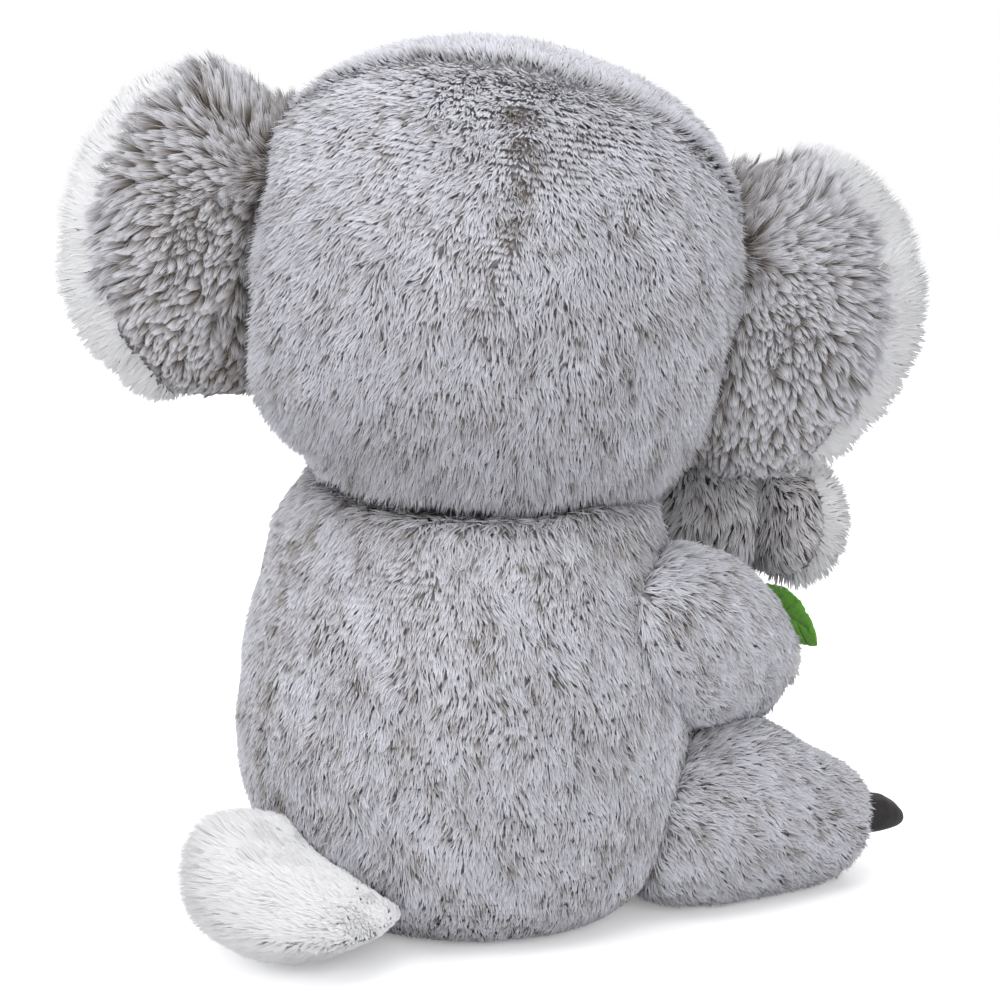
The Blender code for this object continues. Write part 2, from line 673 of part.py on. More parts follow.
def hinge_place(side, angle, height):
    """The point of the body's widest ring at an angle from its side, at the given height."""
    turn = math.radians(angle)
    return BODY_HALF_WIDTH * side * math.cos(turn), BODY_HALF_DEPTH * math.sin(turn), height


arm_rooms = []
hand_claws = []
for side_name, side in (("left", 1), ("right", -1)):
    sizes = (BODY_HALF_WIDTH * side, BODY_HALF_DEPTH, BODY_HEIGHT)
    arm_path = scaled(ARM_PATH_SHARES, sizes)
    hinge = hinge_place(side, ARM_HINGE_ANGLE, arm_path[0][2])
    arm_room, horns = limb("arm", side_name, arm_path, ARM_SHARES, ARM_RADIUS, False, hinge)
    arm_rooms.append(arm_room)
    hand_claws += horns
    sizes = (BODY_HALF_WIDTH * side, BODY_HALF_DEPTH, LEG_RADIUS)
    leg_path = scaled(LEG_PATH_SHARES, sizes)
    hinge = hinge_place(side, LEG_HINGE_ANGLE, leg_path[0][2])
    limb("leg", side_name, leg_path, LEG_SHARES, LEG_RADIUS, True, hinge)

# Tail: its cover and stuffing hang on a hinge at the top of the root
tail_start = BODY_HALF_DEPTH * TAIL_ROOT_SHARE
tail_height = TAIL_OFF_FLOOR + TAIL_HALF_HEIGHT
tail_path = [(0, tail_start + TAIL_LENGTH * share, tail_height) for share in TAIL_PATH_SHARES]
tail_form = limb_form(tail_path, TAIL_SHARES, TAIL_HALF_WIDTH, TAIL_HALF_HEIGHT, ROUND_LIMB)
tail_joint = pivot("tail_lift", (0, BODY_HALF_DEPTH, tail_height + TAIL_HALF_HEIGHT))
tail_skins = [moved(tail_form, -depth) for depth in (0.0, CLOTH, CLOTH + SEAM_GAP)]
hang(cut(cup("tail_cover", tail_skins[0], tail_skins[1], WHITE_FUR), body_room), tail_joint)
hang(cut(solid("tail_stuffing", coarse(tail_skins[2]), FILLING), body_room), tail_joint)

# Baby: seated on the floor in the lap, its back cut to the koala's belly
BABY_SIZES = (BABY_HALF_WIDTH, BABY_HALF_DEPTH, BABY_HEIGHT)
BABY_PLACE = (BABY_ASIDE, -BODY_HALF_DEPTH - BABY_HALF_DEPTH - BABY_FORWARD, BABY_OFF_FLOOR)
baby = upright_form(BABY_BODY_SHARES, BABY_HEIGHT, BABY_HALF_WIDTH, BABY_HALF_DEPTH, BABY_PLACE, ROUND_BABY)
BABY_HEAD_CENTRE = (
    BABY_PLACE[0],
    BABY_PLACE[1] - BABY_HEAD_FORWARD,
    BABY_PLACE[2] + BABY_HEIGHT + BABY_HEAD_HALF_HEIGHT - BABY_HEAD_SINK,
)
BABY_HEAD_SIZES = (BABY_HEAD_HALF_WIDTH, BABY_HEAD_HALF_DEPTH, BABY_HEAD_HALF_HEIGHT)
baby_reach = max(BABY_HEAD_SIZES) + SEAM_GAP
baby_head_room = cutter(solid(
    "baby_head_room",
    ellipsoid_form(
        (baby_reach, baby_reach, BABY_HEAD_HALF_HEIGHT + SEAM_GAP),
        BABY_HEAD_CENTRE, ROUND_BABY - 1, ROUND_BABY * 2, 2,
    ),
    BABY_FUR,
))
flipped = tuple((form[0][::-1], form[2], form[1]) for form in (baby, moved(baby, -CLOTH)))
rooms = (baby_head_room, body_room, *arm_rooms)
cut(cup("baby_body_cover", *flipped, BABY_FUR), *rooms)
cut(solid("baby_body_stuffing", coarse(moved(baby, -CLOTH - SEAM_GAP)), FILLING), *rooms)
baby_room = cutter(solid("baby_room", moved(baby, SEAM_GAP), BABY_FUR))
for claw in hand_claws:
    cut(claw, baby_room)
for side_name, side in (("left", 1), ("right", -1)):
    sizes = (BABY_HALF_WIDTH * side, BABY_HALF_DEPTH, BABY_HEIGHT)
    for kind, shares in (("arm", BABY_ARM_PATH_SHARES), ("leg", BABY_LEG_PATH_SHARES)):
        path = scaled(shares, sizes, BABY_PLACE)
        form = limb_form(path, BABY_LIMB_SHARES, BABY_LIMB_RADIUS, BABY_LIMB_RADIUS, ROUND_SMALL)
        cut(solid("baby_" + kind + "_" + side_name, form, BABY_FUR), baby_room)

# Baby's head, nose, eyes and ears, in the head's own frame
baby_head_joint = pivot("baby_head_turn", BABY_HEAD_CENTRE)
baby_head = ellipsoid_form(BABY_HEAD_SIZES, (0, 0, 0), ROUND_BABY // 2 - 1, ROUND_BABY, 2)
baby_skin_room = under(cutter(solid("baby_skin_room", moved(baby_head, SEAM_GAP), BABY_FUR)), baby_head_joint)
baby_cover = cup("baby_head_cover", baby_head, moved(baby_head, -CLOTH), BABY_FUR)
under(baby_cover, baby_head_joint)
baby_filling = coarse(moved(baby_head, -CLOTH - SEAM_GAP))
baby_stuffing = under(solid("baby_head_stuffing", baby_filling, FILLING), baby_head_joint)
nose_place = scaled((BABY_NOSE_PLACE_SHARES,), BABY_HEAD_SIZES)[0]
nose_sizes = (BABY_NOSE_RADIUS, BABY_NOSE_RADIUS, BABY_NOSE_RADIUS)
baby_nose = blob("baby_nose", nose_sizes, nose_place, DARK_SUEDE, ROUND_SMALL)
under(cut(baby_nose, baby_skin_room), baby_head_joint)
for side_name, side in (("left", 1), ("right", -1)):
    spread = EYE_SPREAD_ANGLE * side
    place, facing = surface_point(BABY_HEAD_SIZES, spread, EYE_LIFT_ANGLE, TRUE_ELLIPSOID)
    profile = eye_profile(BABY_EYE_RADIUS, BABY_EYE_DOME, BABY_EYE_SHANK_RADIUS, BABY_EYE_SHANK_LENGTH)
    eye = solid("baby_eye_" + side_name, lathe_form(profile, place, facing, ROUND_SMALL), EYE_PLASTIC)
    under(eye, baby_head_joint)
    wide = BABY_EYE_SHANK_RADIUS + SEAM_GAP
    hole = ((CUT_OVERRUN, wide), (-BABY_EYE_SHANK_LENGTH - SEAM_GAP, wide))
    hole_form = lathe_form(hole, place, facing, ROUND_SMALL)
    shank_hole = under(cutter(solid("baby_shank_hole_" + side_name, hole_form, EYE_PLASTIC)), baby_head_joint)
    cut(baby_cover, shank_hole)
    cut(baby_stuffing, shank_hole)
ear_pair(
    "baby_", baby_head_joint, BABY_HEAD_SIZES, TRUE_ELLIPSOID,
    (BABY_EAR_BACK_HALF_WIDTH, BABY_EAR_BACK_THICKNESS, BABY_EAR_HALF_HEIGHT),
    (BABY_EAR_FRONT_HALF_WIDTH, BABY_EAR_FRONT_THICKNESS, BABY_EAR_HALF_HEIGHT),
    baby_skin_room, ROUND_BABY, BABY_FUR,
)

# Leaf and its stem
leaf_root = scaled((LEAF_ROOT_SHARES,), (-BABY_HALF_WIDTH, BABY_HALF_DEPTH, BABY_HEIGHT), BABY_PLACE)[0]
leaf_path = scaled(LEAF_PATH_SHARES, (LEAF_LENGTH,) * 3, leaf_root)
leaf_joint = pivot("leaf_swing", leaf_root)
leaf_form = limb_form(leaf_path, LEAF_SHARES, LEAF_HALF_THICKNESS, LEAF_HALF_WIDTH, ROUND_SMALL)
hang(solid("leaf", leaf_form, LEAF_CLOTH), leaf_joint)
stem_end = (leaf_root[0] + STEM_CLEARANCE, leaf_root[1], leaf_root[2])
stem_form = limb_form(
    scaled(STEM_PATH_SHARES, (STEM_LENGTH,) * 3, stem_end), STEM_SHARES, STEM_RADIUS, STEM_RADIUS, ROUND_SMALL
)
solid("leaf_stem", stem_form, LEAF_CLOTH)
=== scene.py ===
import math

import bmesh
import bpy
import numpy as np
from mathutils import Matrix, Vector
from mathutils.bvhtree import BVHTree
from mathutils.kdtree import KDTree


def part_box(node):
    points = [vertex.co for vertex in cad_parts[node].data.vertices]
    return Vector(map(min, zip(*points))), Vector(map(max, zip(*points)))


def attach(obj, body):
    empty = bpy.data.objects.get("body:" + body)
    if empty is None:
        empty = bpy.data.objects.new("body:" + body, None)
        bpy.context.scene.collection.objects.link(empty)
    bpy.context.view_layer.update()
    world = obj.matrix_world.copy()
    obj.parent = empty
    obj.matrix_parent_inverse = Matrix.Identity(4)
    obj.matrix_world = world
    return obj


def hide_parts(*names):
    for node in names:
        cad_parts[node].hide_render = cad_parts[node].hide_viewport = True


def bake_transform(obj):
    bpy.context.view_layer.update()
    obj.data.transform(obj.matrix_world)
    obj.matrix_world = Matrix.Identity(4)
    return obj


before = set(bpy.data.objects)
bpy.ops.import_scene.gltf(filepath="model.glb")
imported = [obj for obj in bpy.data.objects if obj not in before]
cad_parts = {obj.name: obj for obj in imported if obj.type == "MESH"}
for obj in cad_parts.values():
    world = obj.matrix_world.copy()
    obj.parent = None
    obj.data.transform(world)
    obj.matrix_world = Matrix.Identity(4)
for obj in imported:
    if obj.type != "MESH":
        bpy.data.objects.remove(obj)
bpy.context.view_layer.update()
bpy.ops.object.select_all(action="DESELECT")

# Camera. It looks at the koala's back from a little above the seat, from its right-hand side,
# with a long lens, as the photograph was taken.
CAMERA_AROUND = math.radians(218)
CAMERA_UP = math.radians(10)
CAMERA_AWAY = 0.76
LOOKED_AT = Vector((-0.0086, -0.0067, 0.1317))
camera_back = Vector((
    math.sin(CAMERA_AROUND) * math.cos(CAMERA_UP),
    -math.cos(CAMERA_AROUND) * math.cos(CAMERA_UP),
    math.sin(CAMERA_UP),
))
camera = bpy.data.objects.new("camera", bpy.data.cameras.new("camera"))
bpy.context.scene.collection.objects.link(camera)
camera.location = LOOKED_AT + camera_back * CAMERA_AWAY
camera.rotation_euler = camera_back.to_track_quat("Z", "Y").to_euler()
camera.data.sensor_width = 36
camera.data.lens = 84.97
camera.data.clip_start = 0.02
bpy.context.scene.camera = camera

# Floor and light. A white sweep that stays white to the camera and keeps the toy's soft shadow,
# two big soft lamps above and a pale room all round.
bpy.ops.mesh.primitive_plane_add(size=6, location=(0, 0, -0.0004))
floor = bpy.context.object
floor.name = "floor"
floor_paint = bpy.data.materials.new("floor_paint")
floor_paint.use_nodes = True
floor_nodes = floor_paint.node_tree.nodes
floor_shader = floor_nodes["Principled BSDF"]
floor_shader.inputs["Base Color"].default_value = (0.93, 0.93, 0.935, 1)
floor_shader.inputs["Roughness"].default_value = 0.9
floor_shader.inputs["Specular IOR Level"].default_value = 0.1
floor.data.materials.append(floor_paint)
floor_links = floor_paint.node_tree.links
# The floor glows to the camera only, faintly by the toy and more brightly further off: a painted
# glow that keeps the far floor white.
floor_painted_glow = floor_nodes.new("ShaderNodeEmission")
floor_place = floor_nodes.new("ShaderNodeTexCoord")
floor_away = floor_nodes.new("ShaderNodeVectorMath")
floor_away.operation = "LENGTH"
floor_lift = floor_nodes.new("ShaderNodeMapRange")
floor_lift.inputs["From Min"].default_value = 0.12
floor_lift.inputs["From Max"].default_value = 0.60
floor_lift.inputs["To Min"].default_value = 0.22
floor_lift.inputs["To Max"].default_value = 0.48
floor_links.new(floor_place.outputs["Object"], floor_away.inputs[0])
floor_links.new(floor_away.outputs["Value"], floor_lift.inputs["Value"])
floor_links.new(floor_lift.outputs["Result"], floor_painted_glow.inputs["Strength"])
floor_path = floor_nodes.new("ShaderNodeLightPath")
floor_dark = floor_nodes.new("ShaderNodeEmission")
floor_dark.inputs["Strength"].default_value = 0
floor_mix = floor_nodes.new("ShaderNodeMixShader")
floor_sum = floor_nodes.new("ShaderNodeAddShader")
floor_links.new(floor_path.outputs["Is Camera Ray"], floor_mix.inputs["Fac"])
floor_links.new(floor_dark.outputs[0], floor_mix.inputs[1])
floor_links.new(floor_painted_glow.outputs[0], floor_mix.inputs[2])
floor_links.new(floor_shader.outputs[0], floor_sum.inputs[0])
floor_links.new(floor_mix.outputs[0], floor_sum.inputs[1])
floor_links.new(floor_sum.outputs[0], floor_nodes["Material Output"].inputs["Surface"])

world = bpy.data.worlds.new("room")
bpy.context.scene.world = world
world.use_nodes = True
world_nodes = world.node_tree.nodes
world_links = world.node_tree.links
world_nodes.clear()
room_light = world_nodes.new("ShaderNodeBackground")
room_light.inputs["Color"].default_value = (0.97, 0.98, 1.0, 1)
room_light.inputs["Strength"].default_value = 0.60
seen_white = world_nodes.new("ShaderNodeBackground")
seen_white.inputs["Color"].default_value = (1, 1, 1, 1)
seen_white.inputs["Strength"].default_value = 1.0
light_path = world_nodes.new("ShaderNodeLightPath")
seen_or_mirrored = world_nodes.new("ShaderNodeMath")
seen_or_mirrored.operation = "MAXIMUM"
room_mix = world_nodes.new("ShaderNodeMixShader")
room_out = world_nodes.new("ShaderNodeOutputWorld")
world_links.new(light_path.outputs["Is Camera Ray"], seen_or_mirrored.inputs[0])
world_links.new(light_path.outputs["Is Glossy Ray"], seen_or_mirrored.inputs[1])
world_links.new(seen_or_mirrored.outputs[0], room_mix.inputs["Fac"])
world_links.new(room_light.outputs[0], room_mix.inputs[1])
world_links.new(seen_white.outputs[0], room_mix.inputs[2])
world_links.new(room_mix.outputs[0], room_out.inputs["Surface"])
LAMPS_AIM = Vector((0, 0, 0.12))
for lamp_name, lamp_place, lamp_size, lamp_power in (
    ("lamp_above", (-0.2, 0.3, 1.5), 1.2, 10.0),
    ("lamp_behind", (0.6, 1.6, 0.8), 1.2, 15.0),
    ("lamp_right", (-1.4, 0.9, 0.8), 1.2, 16.0),
    ("lamp_front", (0.9, -1.3, 1.0), 1.0, 19.0),
):
    lamp = bpy.data.objects.new(lamp_name, bpy.data.lights.new(lamp_name, "AREA"))
    bpy.context.scene.collection.objects.link(lamp)
    lamp.data.shape = "DISK"
    lamp.data.size = lamp_size
    lamp.data.energy = lamp_power
    lamp.location = lamp_place
    lamp.rotation_euler = (Vector(lamp_place) - LAMPS_AIM).to_track_quat("Z", "Y").to_euler()
bpy.context.scene.view_settings.view_transform = "Standard"

# Koala's body. Two back panels and a pale belly are sewn to a round seat and stuffed tight over a
# bag of pellets. The cloth is a knit with a long tipped pile, silver over dark roots.
GREY = ((0.24, 0.23, 0.235), (0.52, 0.52, 0.56), (0.71, 0.715, 0.78))
GREY_SHADED = ((0.045, 0.034, 0.024), (0.135, 0.112, 0.092), (0.37, 0.355, 0.35))
BACKING_CELL = 0.0030
ROW_PITCH = 0.0020
# Of each pile: strands to a square millimetre, their length and width in metres, their lift off the
# cloth in degrees, the spacing of the locks in millimetres, how far a strand is pulled to its lock,
# how far a lock strays, the shares of dark locks and dark spots, and where along it a strand starts
BODY_PILE = {
    "density": 2.15, "length": 0.0057, "lift": 33, "width": 0.00080, "lock": 0.90, "pull": 0.28,
    "stray": 0.26, "fleck": 0.085, "spots": 0.5, "start": 0.25,
}
TONES = 48
LOWEST_ROOT = 0.0012
LOWEST_STRAND = 0.0003
CORNER_ANGLES = (math.pi / 2, math.pi * 7 / 6, math.pi * 11 / 6)


def rounded(piece, cell, rounds):
    """Puts a piece in the scene, rebuilds it in even cells and softens it."""
    bpy.context.scene.collection.objects.link(piece)
    bpy.context.view_layer.objects.active = piece
    piece.select_set(True)
    remesh = piece.modifiers.new("cells", "REMESH")
    remesh.mode = "VOXEL"
    remesh.voxel_size = cell
    bpy.ops.object.modifier_apply(modifier="cells")
    soften = piece.modifiers.new("soften", "SMOOTH")
    soften.factor = 0.5
    soften.iterations = rounds
    bpy.ops.object.modifier_apply(modifier="soften")
    piece.select_set(False)


def stuffed_skin(name, nodes, cell, backing):
    """One closed, softened skin over the solids of a stuffed piece."""
    joined = bmesh.new()
    for node in nodes:
        joined.from_mesh(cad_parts[node].data)
    bmesh.ops.remove_doubles(joined, verts=joined.verts, dist=1e-6)
    mesh = bpy.data.meshes.new(name)
    joined.to_mesh(mesh)
    joined.free()
    skin = bpy.data.objects.new(name, mesh)
    rounded(skin, cell, 5)
    # Only the outer shell is kept, which the highest point belongs to
    whole = bmesh.new()
    whole.from_mesh(skin.data)
    outermost = max(whole.verts, key=lambda vert: vert.co.z)
    reached, edge_of_reach = {outermost}, [outermost]
    while edge_of_reach:
        vert = edge_of_reach.pop()
        for edge in vert.link_edges:
            other = edge.other_vert(vert)
            if other not in reached:
                reached.add(other)
                edge_of_reach.append(other)
    inner = [vert for vert in whole.verts if vert not in reached]
    bmesh.ops.delete(whole, geom=inner, context="VERTS")
    whole.to_mesh(skin.data)
    whole.free()
    skin.data.materials.clear()
    skin.data.materials.append(backing)
    skin.data.shade_smooth()
    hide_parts(*nodes)
    return skin


def knit_backing(name, colour):
    """The knitted ground of the cloth, which shows only where the pile parts."""
    cloth = bpy.data.materials.new(name)
    cloth.use_nodes = True
    nodes, links = cloth.node_tree.nodes, cloth.node_tree.links
    shader = nodes["Principled BSDF"]
    shader.inputs["Roughness"].default_value = 0.95
    shader.inputs["Specular IOR Level"].default_value = 0.1
    place = nodes.new("ShaderNodeTexCoord")
    rows = nodes.new("ShaderNodeTexWave")
    rows.bands_direction = "Z"
    rows.inputs["Scale"].default_value = 80
    rows.inputs["Distortion"].default_value = 1.2
    mix = nodes.new("ShaderNodeMix")
    mix.data_type = "RGBA"
    mix.inputs["A"].default_value = (*(value * 0.7 for value in colour), 1)
    mix.inputs["B"].default_value = (*colour, 1)
    bump = nodes.new("ShaderNodeBump")
    bump.inputs["Strength"].default_value = 0.4
    bump.inputs["Distance"].default_value = 0.0006
    links.new(place.outputs["Object"], rows.inputs["Vector"])
    links.new(rows.outputs["Fac"], mix.inputs["Factor"])
    links.new(mix.outputs["Result"], shader.inputs["Base Color"])
    links.new(rows.outputs["Fac"], bump.inputs["Height"])
    links.new(bump.outputs["Normal"], shader.inputs["Normal"])
    return cloth


def pile_yarn(name, shaded, bright):
    """The pile's colour: v of its map runs from root to tip, u from shaded to bright strands."""
    yarn = bpy.data.materials.new(name)
    yarn.use_nodes = True
    nodes, links = yarn.node_tree.nodes, yarn.node_tree.links
    shader = nodes["Principled BSDF"]
    shader.inputs["Roughness"].default_value = 0.9
    shader.inputs["Specular IOR Level"].default_value = 0
    strand_map = nodes.new("ShaderNodeUVMap")
    strand_map.uv_map = "OFBake"
    parts = nodes.new("ShaderNodeSeparateXYZ")
    links.new(strand_map.outputs["UV"], parts.inputs["Vector"])
    ramps = []
    for colours in (shaded, bright):
        ramp = nodes.new("ShaderNodeValToRGB")
        ramp.color_ramp.elements[0].position = 0.08
        ramp.color_ramp.elements[0].color = (*colours[0], 1)
        ramp.color_ramp.elements[1].position = 0.92
        ramp.color_ramp.elements[1].color = (*colours[2], 1)
        middle = ramp.color_ramp.elements.new(0.45)
        middle.color = (*colours[1], 1)
        links.new(parts.outputs["Y"], ramp.inputs["Fac"])
        ramps.append(ramp)
    mix = nodes.new("ShaderNodeMix")
    mix.data_type = "RGBA"
    links.new(parts.outputs["X"], mix.inputs["Factor"])
    links.new(ramps[0].outputs["Color"], mix.inputs["A"])
    links.new(ramps[1].outputs["Color"], mix.inputs["B"])
    links.new(mix.outputs["Result"], shader.inputs["Base Color"])
    return yarn


def unit(vectors):
    return vectors / np.maximum(np.linalg.norm(vectors, axis=-1, keepdims=True), 1e-12)


def ripple(points, size, seed):
    """A smooth random value between about -1 and 1 that changes over the given size."""
    rng = np.random.default_rng(seed)
    waves = unit(rng.normal(size=(9, 3))) * (math.tau / size) * rng.uniform(0.6, 1.5, (9, 1))
    return np.sin(points @ waves.T + rng.uniform(0, 7, 9)).sum(axis=1) / 3.2


SKYWARD = Vector((0.31, 0.17, 0.93)).normalized()


def clear_of(distance, *nodes):
    """Tells which points lie outside these solids, and further off than the distance."""
    solids = []
    for node in nodes:
        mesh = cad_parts[node].data
        places = np.array([vert.co for vert in mesh.vertices])
        faces = [tuple(face.vertices) for face in mesh.polygons]
        tree = BVHTree.FromPolygons(places.tolist(), faces)
        solids.append((tree, places.min(axis=0) - distance, places.max(axis=0) + distance))

    def outside(points):
        clear = np.ones(len(points), bool)
        for tree, low, high in solids:
            close = ((points > low) & (points < high)).all(axis=1)
            for k in np.flatnonzero(clear & close):
                point = Vector(points[k])
                near, normal, _, gap = tree.find_nearest(point)
                clear[k] = gap > distance
                if clear[k] and (point - near).dot(normal) < 0:
                    hit, facing, _, _ = tree.ray_cast(point, SKYWARD)
                    clear[k] = hit is None or facing.dot(SKYWARD) < 0
        return clear

    return outside


def comb_along(*direction):
    """Combs the whole pile one way."""
    return lambda points, normals: np.tile(np.array(direction, float), (len(points), 1))


def even_tone(points, normals):
    return np.zeros(len(points))


def surface_of(mesh):
    """The places of a mesh's points, and the way that the surface faces at each of them."""
    read = []
    for kind in ("co", "normal"):
        values = np.empty(len(mesh.vertices) * 3, np.float32)
        mesh.vertices.foreach_get(kind, values)
        read.append(values.reshape(-1, 3).astype(float))
    return read


def pile_on(name, skin, yarn, pile, comb, seed, keep, tone=even_tone, extra=None):
    """Plants strands of pile on a skin, combed one way and gathered into locks."""
    rng = np.random.default_rng(seed)
    mesh = skin.data
    mesh.calc_loop_triangles()
    corners = np.empty(len(mesh.loop_triangles) * 3, np.int32)
    mesh.loop_triangles.foreach_get("vertices", corners)
    corners = corners.reshape(-1, 3)
    places, facings = surface_of(mesh)
    sides = places[corners]
    edges = sides[:, 1:] - sides[:, :1]
    areas = np.linalg.norm(np.cross(edges[:, 0], edges[:, 1]), axis=1) / 2
    count = int(areas.sum() * 1e6 * pile["density"])
    chosen = rng.choice(len(areas), count, p=areas / areas.sum())
    across, along = rng.random((2, count))
    folded = across + along > 1
    across[folded], along[folded] = 1 - across[folded], 1 - along[folded]
    shares = np.stack([1 - across - along, across, along], axis=1)[:, :, None]
    roots = (places[corners[chosen]] * shares).sum(axis=1)
    normals = unit((facings[corners[chosen]] * shares).sum(axis=1))
    kept = (roots[:, 2] > LOWEST_ROOT) | (normals[:, 2] > -0.5)
    kept[kept] = keep(roots[kept], normals[kept])
    roots, normals = roots[kept], normals[kept]
    count = len(roots)

    def laid(way):
        """The comb's way laid along the skin. Free pile is only kept from going into the skin."""
        off_skin = (way * normals).sum(axis=1, keepdims=True)
        return unit(way - (np.minimum(off_skin, 0.0) if pile.get("free") else off_skin) * normals)

    way = laid(comb(roots, normals) + rng.normal(size=(count, 3)) * 0.10)
    swirl = 0.30 * ripple(roots, 0.016, seed + 200)
    swirl = swirl + pile.get("swirl", 0.16) * ripple(roots, 0.006, seed + 250)
    way = way + np.cross(way, normals) * swirl[:, None]
    # Where the pile lies smooth, it stands in the courses of the knit
    calm = np.zeros(count)
    if "rows" in pile:
        course = np.array(pile["rows"])
        climb = way @ course
        calm = np.clip(ripple(roots, 0.028, seed + 300) + 0.60, 0, 1)
        calm = calm * np.clip(np.abs(climb) * 4 - 2, 0, 1)
        off_course = roots @ course - np.round(roots @ course / ROW_PITCH) * ROW_PITCH
        roots = roots - way * (off_course * calm * 0.62 / np.where(calm > 0, climb, 1))[:, None]
    # Length and lift of each strand, then of the lock that it is in
    uneven, ruffled = pile.get("uneven", 0.28), 1 - 0.75 * calm
    lengths = pile["length"] * (1 - 0.24 * calm)
    lengths = lengths * (1 + uneven * (rng.random(count) - 0.5) * ruffled)
    lifts = np.radians(pile["lift"]) * (0.8 + 0.4 * rng.random(count))
    if extra is not None:
        longer, higher = extra(roots, normals)
        lengths = lengths * longer
        lifts = lifts + np.radians(higher)
    wanted = max(int(count / pile["lock"] ** 2 / pile["density"]), 1)
    heads = rng.choice(count, min(wanted, count), replace=False)
    tree = KDTree(len(heads))
    for k, head in enumerate(heads):
        tree.insert(roots[head], k)
    tree.balance()
    lock = np.array([tree.find(root)[1] for root in roots])
    lock_turn = rng.normal(size=(len(heads), 3)) * pile.get("stray", 0.14)
    way = laid(way + lock_turn[lock] * (1 - 0.5 * calm)[:, None])
    lengths = lengths * (1 + uneven / 2 * (rng.random(len(heads))[lock] - 0.5) * ruffled)
    wild = rng.random(count) < uneven / 10
    lifts[wild] += np.radians(10)
    pull = np.where(wild, 0.1, pile["pull"] * (0.7 + 0.5 * rng.random(count)) * (1 - 0.7 * calm))
    side = np.cross(way, normals)

    def strand(share):
        up = lengths * np.sin(lifts) * (1 - (1 - share) ** 2)
        on = lengths * np.cos(lifts) * share ** 1.2
        line = roots + normals * up[:, None] + way * on[:, None]
        middle = line[heads][lock]
        return line + (middle - line) * (pull * share ** 1.4)[:, None]

    # A few locks show their dark underside, more of them where the tone is low
    tip = strand(1.0)
    fleck = pile.get("fleck", 0.10) - 0.55 * tone(roots, normals)
    fleck = fleck + pile.get("spots", 0) * np.clip(ripple(roots, 0.009, seed + 400) * 2 - 1.7, 0, 1)
    dark = (rng.random(len(heads))[lock] < fleck) | (rng.random(count) < fleck * 0.4)
    shade = np.where(dark, 0.26, 0.80) + tone(roots, normals) * 0.7
    shade = shade + rng.normal(size=len(heads))[lock] * 0.05 + rng.normal(size=count) * 0.07
    if "rows" in pile:
        shade = shade + 0.06 * calm * np.cos(tip @ course * (math.tau / ROW_PITCH))
    tones = (np.floor(np.clip(shade, 0.0, 0.999) * TONES) + 0.5) / TONES
    # A strand is a thin spike: three corners round its foot, and its tip
    start = pile.get("start", 0.0)
    girth = pile["width"] * 0.58 * (1 - 0.4 * start) * (0.75 + 0.5 * rng.random(count))
    foot = strand(start)
    rows = [
        foot + (side * math.cos(angle) + normals * math.sin(angle)) * girth[:, None]
        for angle in CORNER_ANGLES
    ]
    points = np.stack([*rows, tip], axis=1)
    points[..., 2] = np.maximum(points[..., 2], LOWEST_STRAND)
    corners = (np.arange(count)[:, None] * 4 + (1, 0, 3, 2, 1, 3, 0, 2, 3)).ravel()
    starts = np.arange(0, len(corners), 3)
    fur_mesh = bpy.data.meshes.new(name)
    fur_mesh.vertices.add(count * 4)
    fur_mesh.vertices.foreach_set("co", points.astype(np.float32).ravel())
    fur_mesh.loops.add(len(corners))
    fur_mesh.loops.foreach_set("vertex_index", corners.astype(np.int32))
    fur_mesh.polygons.add(len(starts))
    fur_mesh.polygons.foreach_set("loop_start", starts.astype(np.int32))
    fur_mesh.update(calc_edges=True)
    across = np.array((0.0, -0.4, 0.4, 0.0)) / TONES
    up = np.array([0.02 + 0.96 * start] * 3 + [0.98])
    strand_map = np.stack([tones[:, None] + across, np.tile(up, (count, 1))], axis=-1)
    strand_map = strand_map.reshape(-1, 2)[corners]
    layer = fur_mesh.uv_layers.new(name="OFBake")
    layer.uv.foreach_set("vector", strand_map.astype(np.float32).ravel())
    fur_mesh.shade_smooth()
    shading = unit(normals + lock_turn[lock] * 0.7 + way * pile.get("turned", 0.25))
    fur_mesh.normals_split_custom_set_from_vertices(np.repeat(shading, 4, axis=0))
    fur_mesh.materials.append(yarn)
    fur = bpy.data.objects.new(name, fur_mesh)
    bpy.context.scene.collection.objects.link(fur)
    print(name, count, "strands", len(starts), "triangles")
    return fur


def fuller(skin, push):
    """Swells or flattens a skin by the given push at each point."""
    places, facings = surface_of(skin.data)
    pushed = places + push(places, facings)
    skin.data.vertices.foreach_set("co", pushed.astype(np.float32).ravel())
    skin.data.update()


def lined(skin, finish, chosen):
    """Gives the chosen part of a skin another backing."""
    centres = np.empty(len(skin.data.polygons) * 3, np.float32)
    skin.data.polygons.foreach_get("center", centres)
    skin.data.materials.append(finish)
    picked = chosen(centres.reshape(-1, 3).astype(float))
    skin.data.polygons.foreach_set("material_index", picked.astype(np.int32))


def ride_all(body, *pieces):
    """Fixes every one of these pieces to the same moving body."""
    for piece in pieces:
        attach(piece, body)


grey_backing = knit_backing("grey_backing", (0.30, 0.29, 0.30))
white_backing = knit_backing("white_backing", (0.70, 0.70, 0.71))
grey_yarn = pile_yarn("grey_yarn", GREY_SHADED, GREY)
WHITE = ((0.67, 0.67, 0.68), (0.775, 0.775, 0.79), (0.84, 0.84, 0.855))
WHITE_SHADED = ((0.64, 0.64, 0.65), (0.745, 0.745, 0.755), (0.80, 0.80, 0.81))
white_yarn = pile_yarn("white_yarn", WHITE_SHADED, WHITE)

body_skin = stuffed_skin(
    "body_skin",
    (
        "body_back_left", "body_back_right", "belly_panel", "seat_panel", "body_stuffing",
        "pellet_bag",
    ),
    BACKING_CELL, grey_backing,
)
LEFT_BEHIND = np.array((0.788, 0.616, 0.0))


